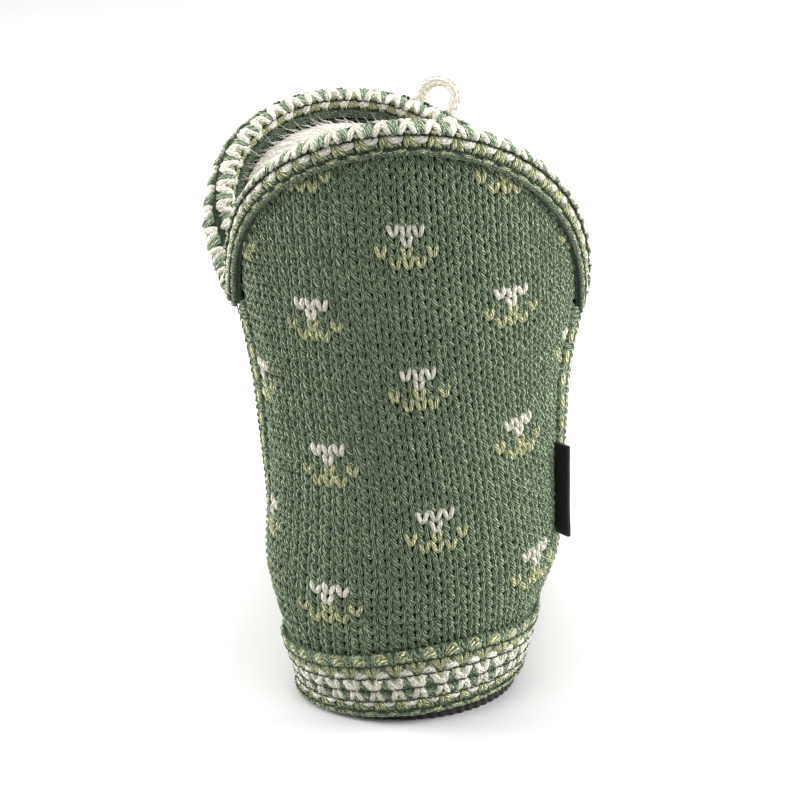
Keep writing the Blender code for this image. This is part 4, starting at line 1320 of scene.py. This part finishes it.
# %% Loop
def loop_path():
    """Middle line of the pull loop, up one leg, over and down the other, and its facing direction."""
    fine = np.linspace(1.5, 2.5, 201)
    edge = surface(fine, edge_height(fine))
    radius = (LOOP_WIDTH - LOOP_CORD) / 2
    downs = np.linspace(LOOP_ROOT, 0.0, 12)
    over_binding = (2 * GAP + TAPE_THICKNESS) * (1.0 - ease((downs - BINDING_LEG) / LOOP_STEP_IN))
    legs = []
    for x in (LOOP_SIDE + radius, LOOP_SIDE - radius):
        q = np.full(len(downs), np.interp(-x, -edge[:, 0], fine))
        legs.append(offset(*below_edge(q, downs), GAP + LOOP_CORD / 2 + over_binding))
    ends = np.array([legs[0][-1], legs[1][-1]])
    up = unit(ends.mean(axis=0) - np.array([legs[0][-2], legs[1][-2]]).mean(axis=0))
    side = (ends[0] - ends[1]) / 2
    radius = np.linalg.norm(side)
    top = ends.mean(axis=0) + up * (LOOP_STAND - radius)
    bends = np.linspace(0.0, math.pi, 24)
    arch = [top + side * math.cos(bend) + up * radius * math.sin(bend) for bend in bends]
    return np.concatenate([legs[0], arch, legs[1][::-1]]), np.cross(up, side) / radius


def round_cord(path, facing, radius, turns):
    """Way along a cord, ways out of it at each turn round it, and points at a radius."""
    ahead = unit(np.gradient(path, axis=0))
    sideways = unit(np.cross(ahead, facing))
    outwards = np.cross(sideways, ahead)
    out = outwards[:, None] * np.cos(turns)[None, :, None] + sideways[:, None] * np.sin(turns)[None, :, None]
    return np.broadcast_to(ahead[:, None], out.shape), out, path[:, None] + out * radius


cream_cord = mottled("cream_cord", 0.9, 0.4, (0.91, 0.84, 0.73), (0.98, 0.93, 0.84),
                     (1500.0,), (2500.0,), 0.0004)
CORE_RADIUS, CORE_SIDES = LOOP_CORD / 2 - 0.32, 16
path, facing = loop_path()
rows = round_cord(path, facing, CORE_RADIUS, np.arange(CORE_SIDES) * 2 * math.pi / CORE_SIDES)[2]
settle(new_piece("pull_loop_core", rows, "runged", cream_cord), "loop", "pull_loop")

# %% Stitches round the loop
LOOP_WALES, LOOP_COURSE = 5, 2.2
STITCH_MIDDLE, WALE_RADIUS = LOOP_CORD / 2 - 0.68, LOOP_CORD / 2 - 0.3
length = lengths(path)
courses = np.arange(LOOP_COURSE / 2, length[-1], LOOP_COURSE)
middle = np.column_stack([np.interp(courses, length, column) for column in path.T])
turns = (np.arange(LOOP_WALES) + 0.25) * 2 * math.pi / LOOP_WALES
along, outward, spots = round_cord(middle, facing, STITCH_MIDDLE, turns)
across = np.cross(along, outward).reshape(-1, 3)
outward, spots = outward.reshape(-1, 3), spots.reshape(-1, 3)
wale = 2 * math.pi * WALE_RADIUS / LOOP_WALES
size = np.tile([wale / STITCH_WIDE, LOOP_COURSE / STITCH_TALL, 0.62], (len(spots), 1))
tone = np.array(CREAM) * (1.0 + np.random.default_rng(41).uniform(-0.06, 0.06, (len(spots), 1)))
twice = [np.concatenate([value, value]) for value in (spots, across, outward, size, tone)]
kind = np.repeat(LEGS, len(spots))
settle(lay("pull_loop_stitches", *twice[:4], kind, twice[4], cream_cord, 0.06, 42), "loop")

# %% [markdown]
# ## Side label
# A strip of black satin, folded in two and caught in the outer seam. Every row of its skin goes out along
# one side, round the fold and back along the other, so the label has its real thickness and a soft edge.

# %% Side label
woven = mottled("label_satin", 0.55, 0.1, (0.004, 0.004, 0.0045), (0.010, 0.010, 0.011),
                (900.0,), (3000.0, 2.0, (1.0, 1.0, 3.0)), 0.0002)
turn = math.radians(LABEL_TURN)
out_way = np.array([math.cos(turn), -math.sin(turn), 0.0])
across_way = np.array([math.sin(turn), math.cos(turn), 0.0])
half = LABEL_THICKNESS / 2
straight = [(-half, (LABEL_DEPTH - half) * t) for t in np.linspace(0, 1, 6)]
fold = [
    (-half * math.cos(a), LABEL_DEPTH - half + half * math.sin(a)) for a in np.linspace(0.3, math.pi - 0.3, 6)
]
outline = straight + fold + [(half, deep) for _, deep in straight[::-1]]
rows = []
for height in LABEL_BOTTOM + LABEL_HEIGHT * np.linspace(0.0, 1.0, 16):
    q = seam_position(1, np.array(height), np.array(-LABEL_BACK_OF_SEAM))
    root = offset(q, height, GAP + 0.5)
    rows.append([root + across_way * wide + out_way * deep for wide, deep in outline])
settle(new_piece("side_label_fold", rows, "runged", woven), "label", "side_label")

# %% [markdown]
# ## Outsole
# The rubber sole is ribbed all round its lower edge, and smooth above the ribs, where the tape covers it.
# Its outline is the upper's lowest ring, drawn in by a groove between each two ribs.

# %% Outsole
RIB_PITCH, POINTS_A_RIB, GROOVE, SHOULDER = 2.8, 6, 0.75, 0.4
# rows from the tread up: height over it, share of the groove's depth, and how far the row is drawn in
SOLE_ROWS = (
    (0.0, 1.0, 0.7), (0.12, 1.0, 0.2), (0.4, 1.0, 0.0), (3.1, 1.0, 0.0), (3.5, 0.4, 0.0), (3.8, 0.0, 0.0)
)
rubber = mottled("sole_rubber", 0.62, 0.0, (0.026, 0.023, 0.021), (0.045, 0.040, 0.037),
                 (600.0, 4.0), (2600.0,), 0.00015)
q_parts, groove_parts = [], []
for quarter in range(4):
    ribs = int(round(quarter_length(BASE, quarter) / RIB_PITCH))
    t = np.arange(ribs * POINTS_A_RIB) / (ribs * POINTS_A_RIB)
    q_parts.append(quarter + t)
    groove_parts.append(np.clip(np.cos(2 * math.pi * ribs * t) * 1.6, 0.0, 1.0) * GROOVE)
q, groove = np.concatenate(q_parts), np.concatenate(groove_parts)
top = offset(q, BASE, 0.0) - [0.0, 0.0, GAP]
share = (top[:, 1] - top[:, 1].min()) / SOLE_LENGTH
arch = ARCH_RISE * np.sin(math.pi * np.clip((share - ARCH_FROM) / (ARCH_TO - ARCH_FROM), 0, 1)) ** 2
spring = np.maximum(top[:, 2] - OUTSOLE_THICKNESS - SPRING_LEVEL, 0.0)
tread = spring + arch * ease(0.5 - top[:, 0] / BALL_WIDTH)
rows = []
for rise, deep, inset in SOLE_ROWS:
    row = offset(q, BASE, -groove * deep - inset)
    rows.append(np.column_stack([row[:, :2], tread + rise]))
rows.append(top - [0.0, 0.0, SHOULDER])
rows.append(np.column_stack([offset(q, BASE, -SHOULDER)[:, :2], top[:, 2]]))
sole = new_piece("ribbed_outsole", rows, "runged", rubber)
sole.data.set_sharp_from_angle(angle=math.radians(50))
settle(sole, "outsole", "outsole")

# %% [markdown]
# ## Hand over
# The templates have done their work and leave the scene.

# %% Hand over
for template in list(templates.objects):
    bpy.data.objects.remove(template)
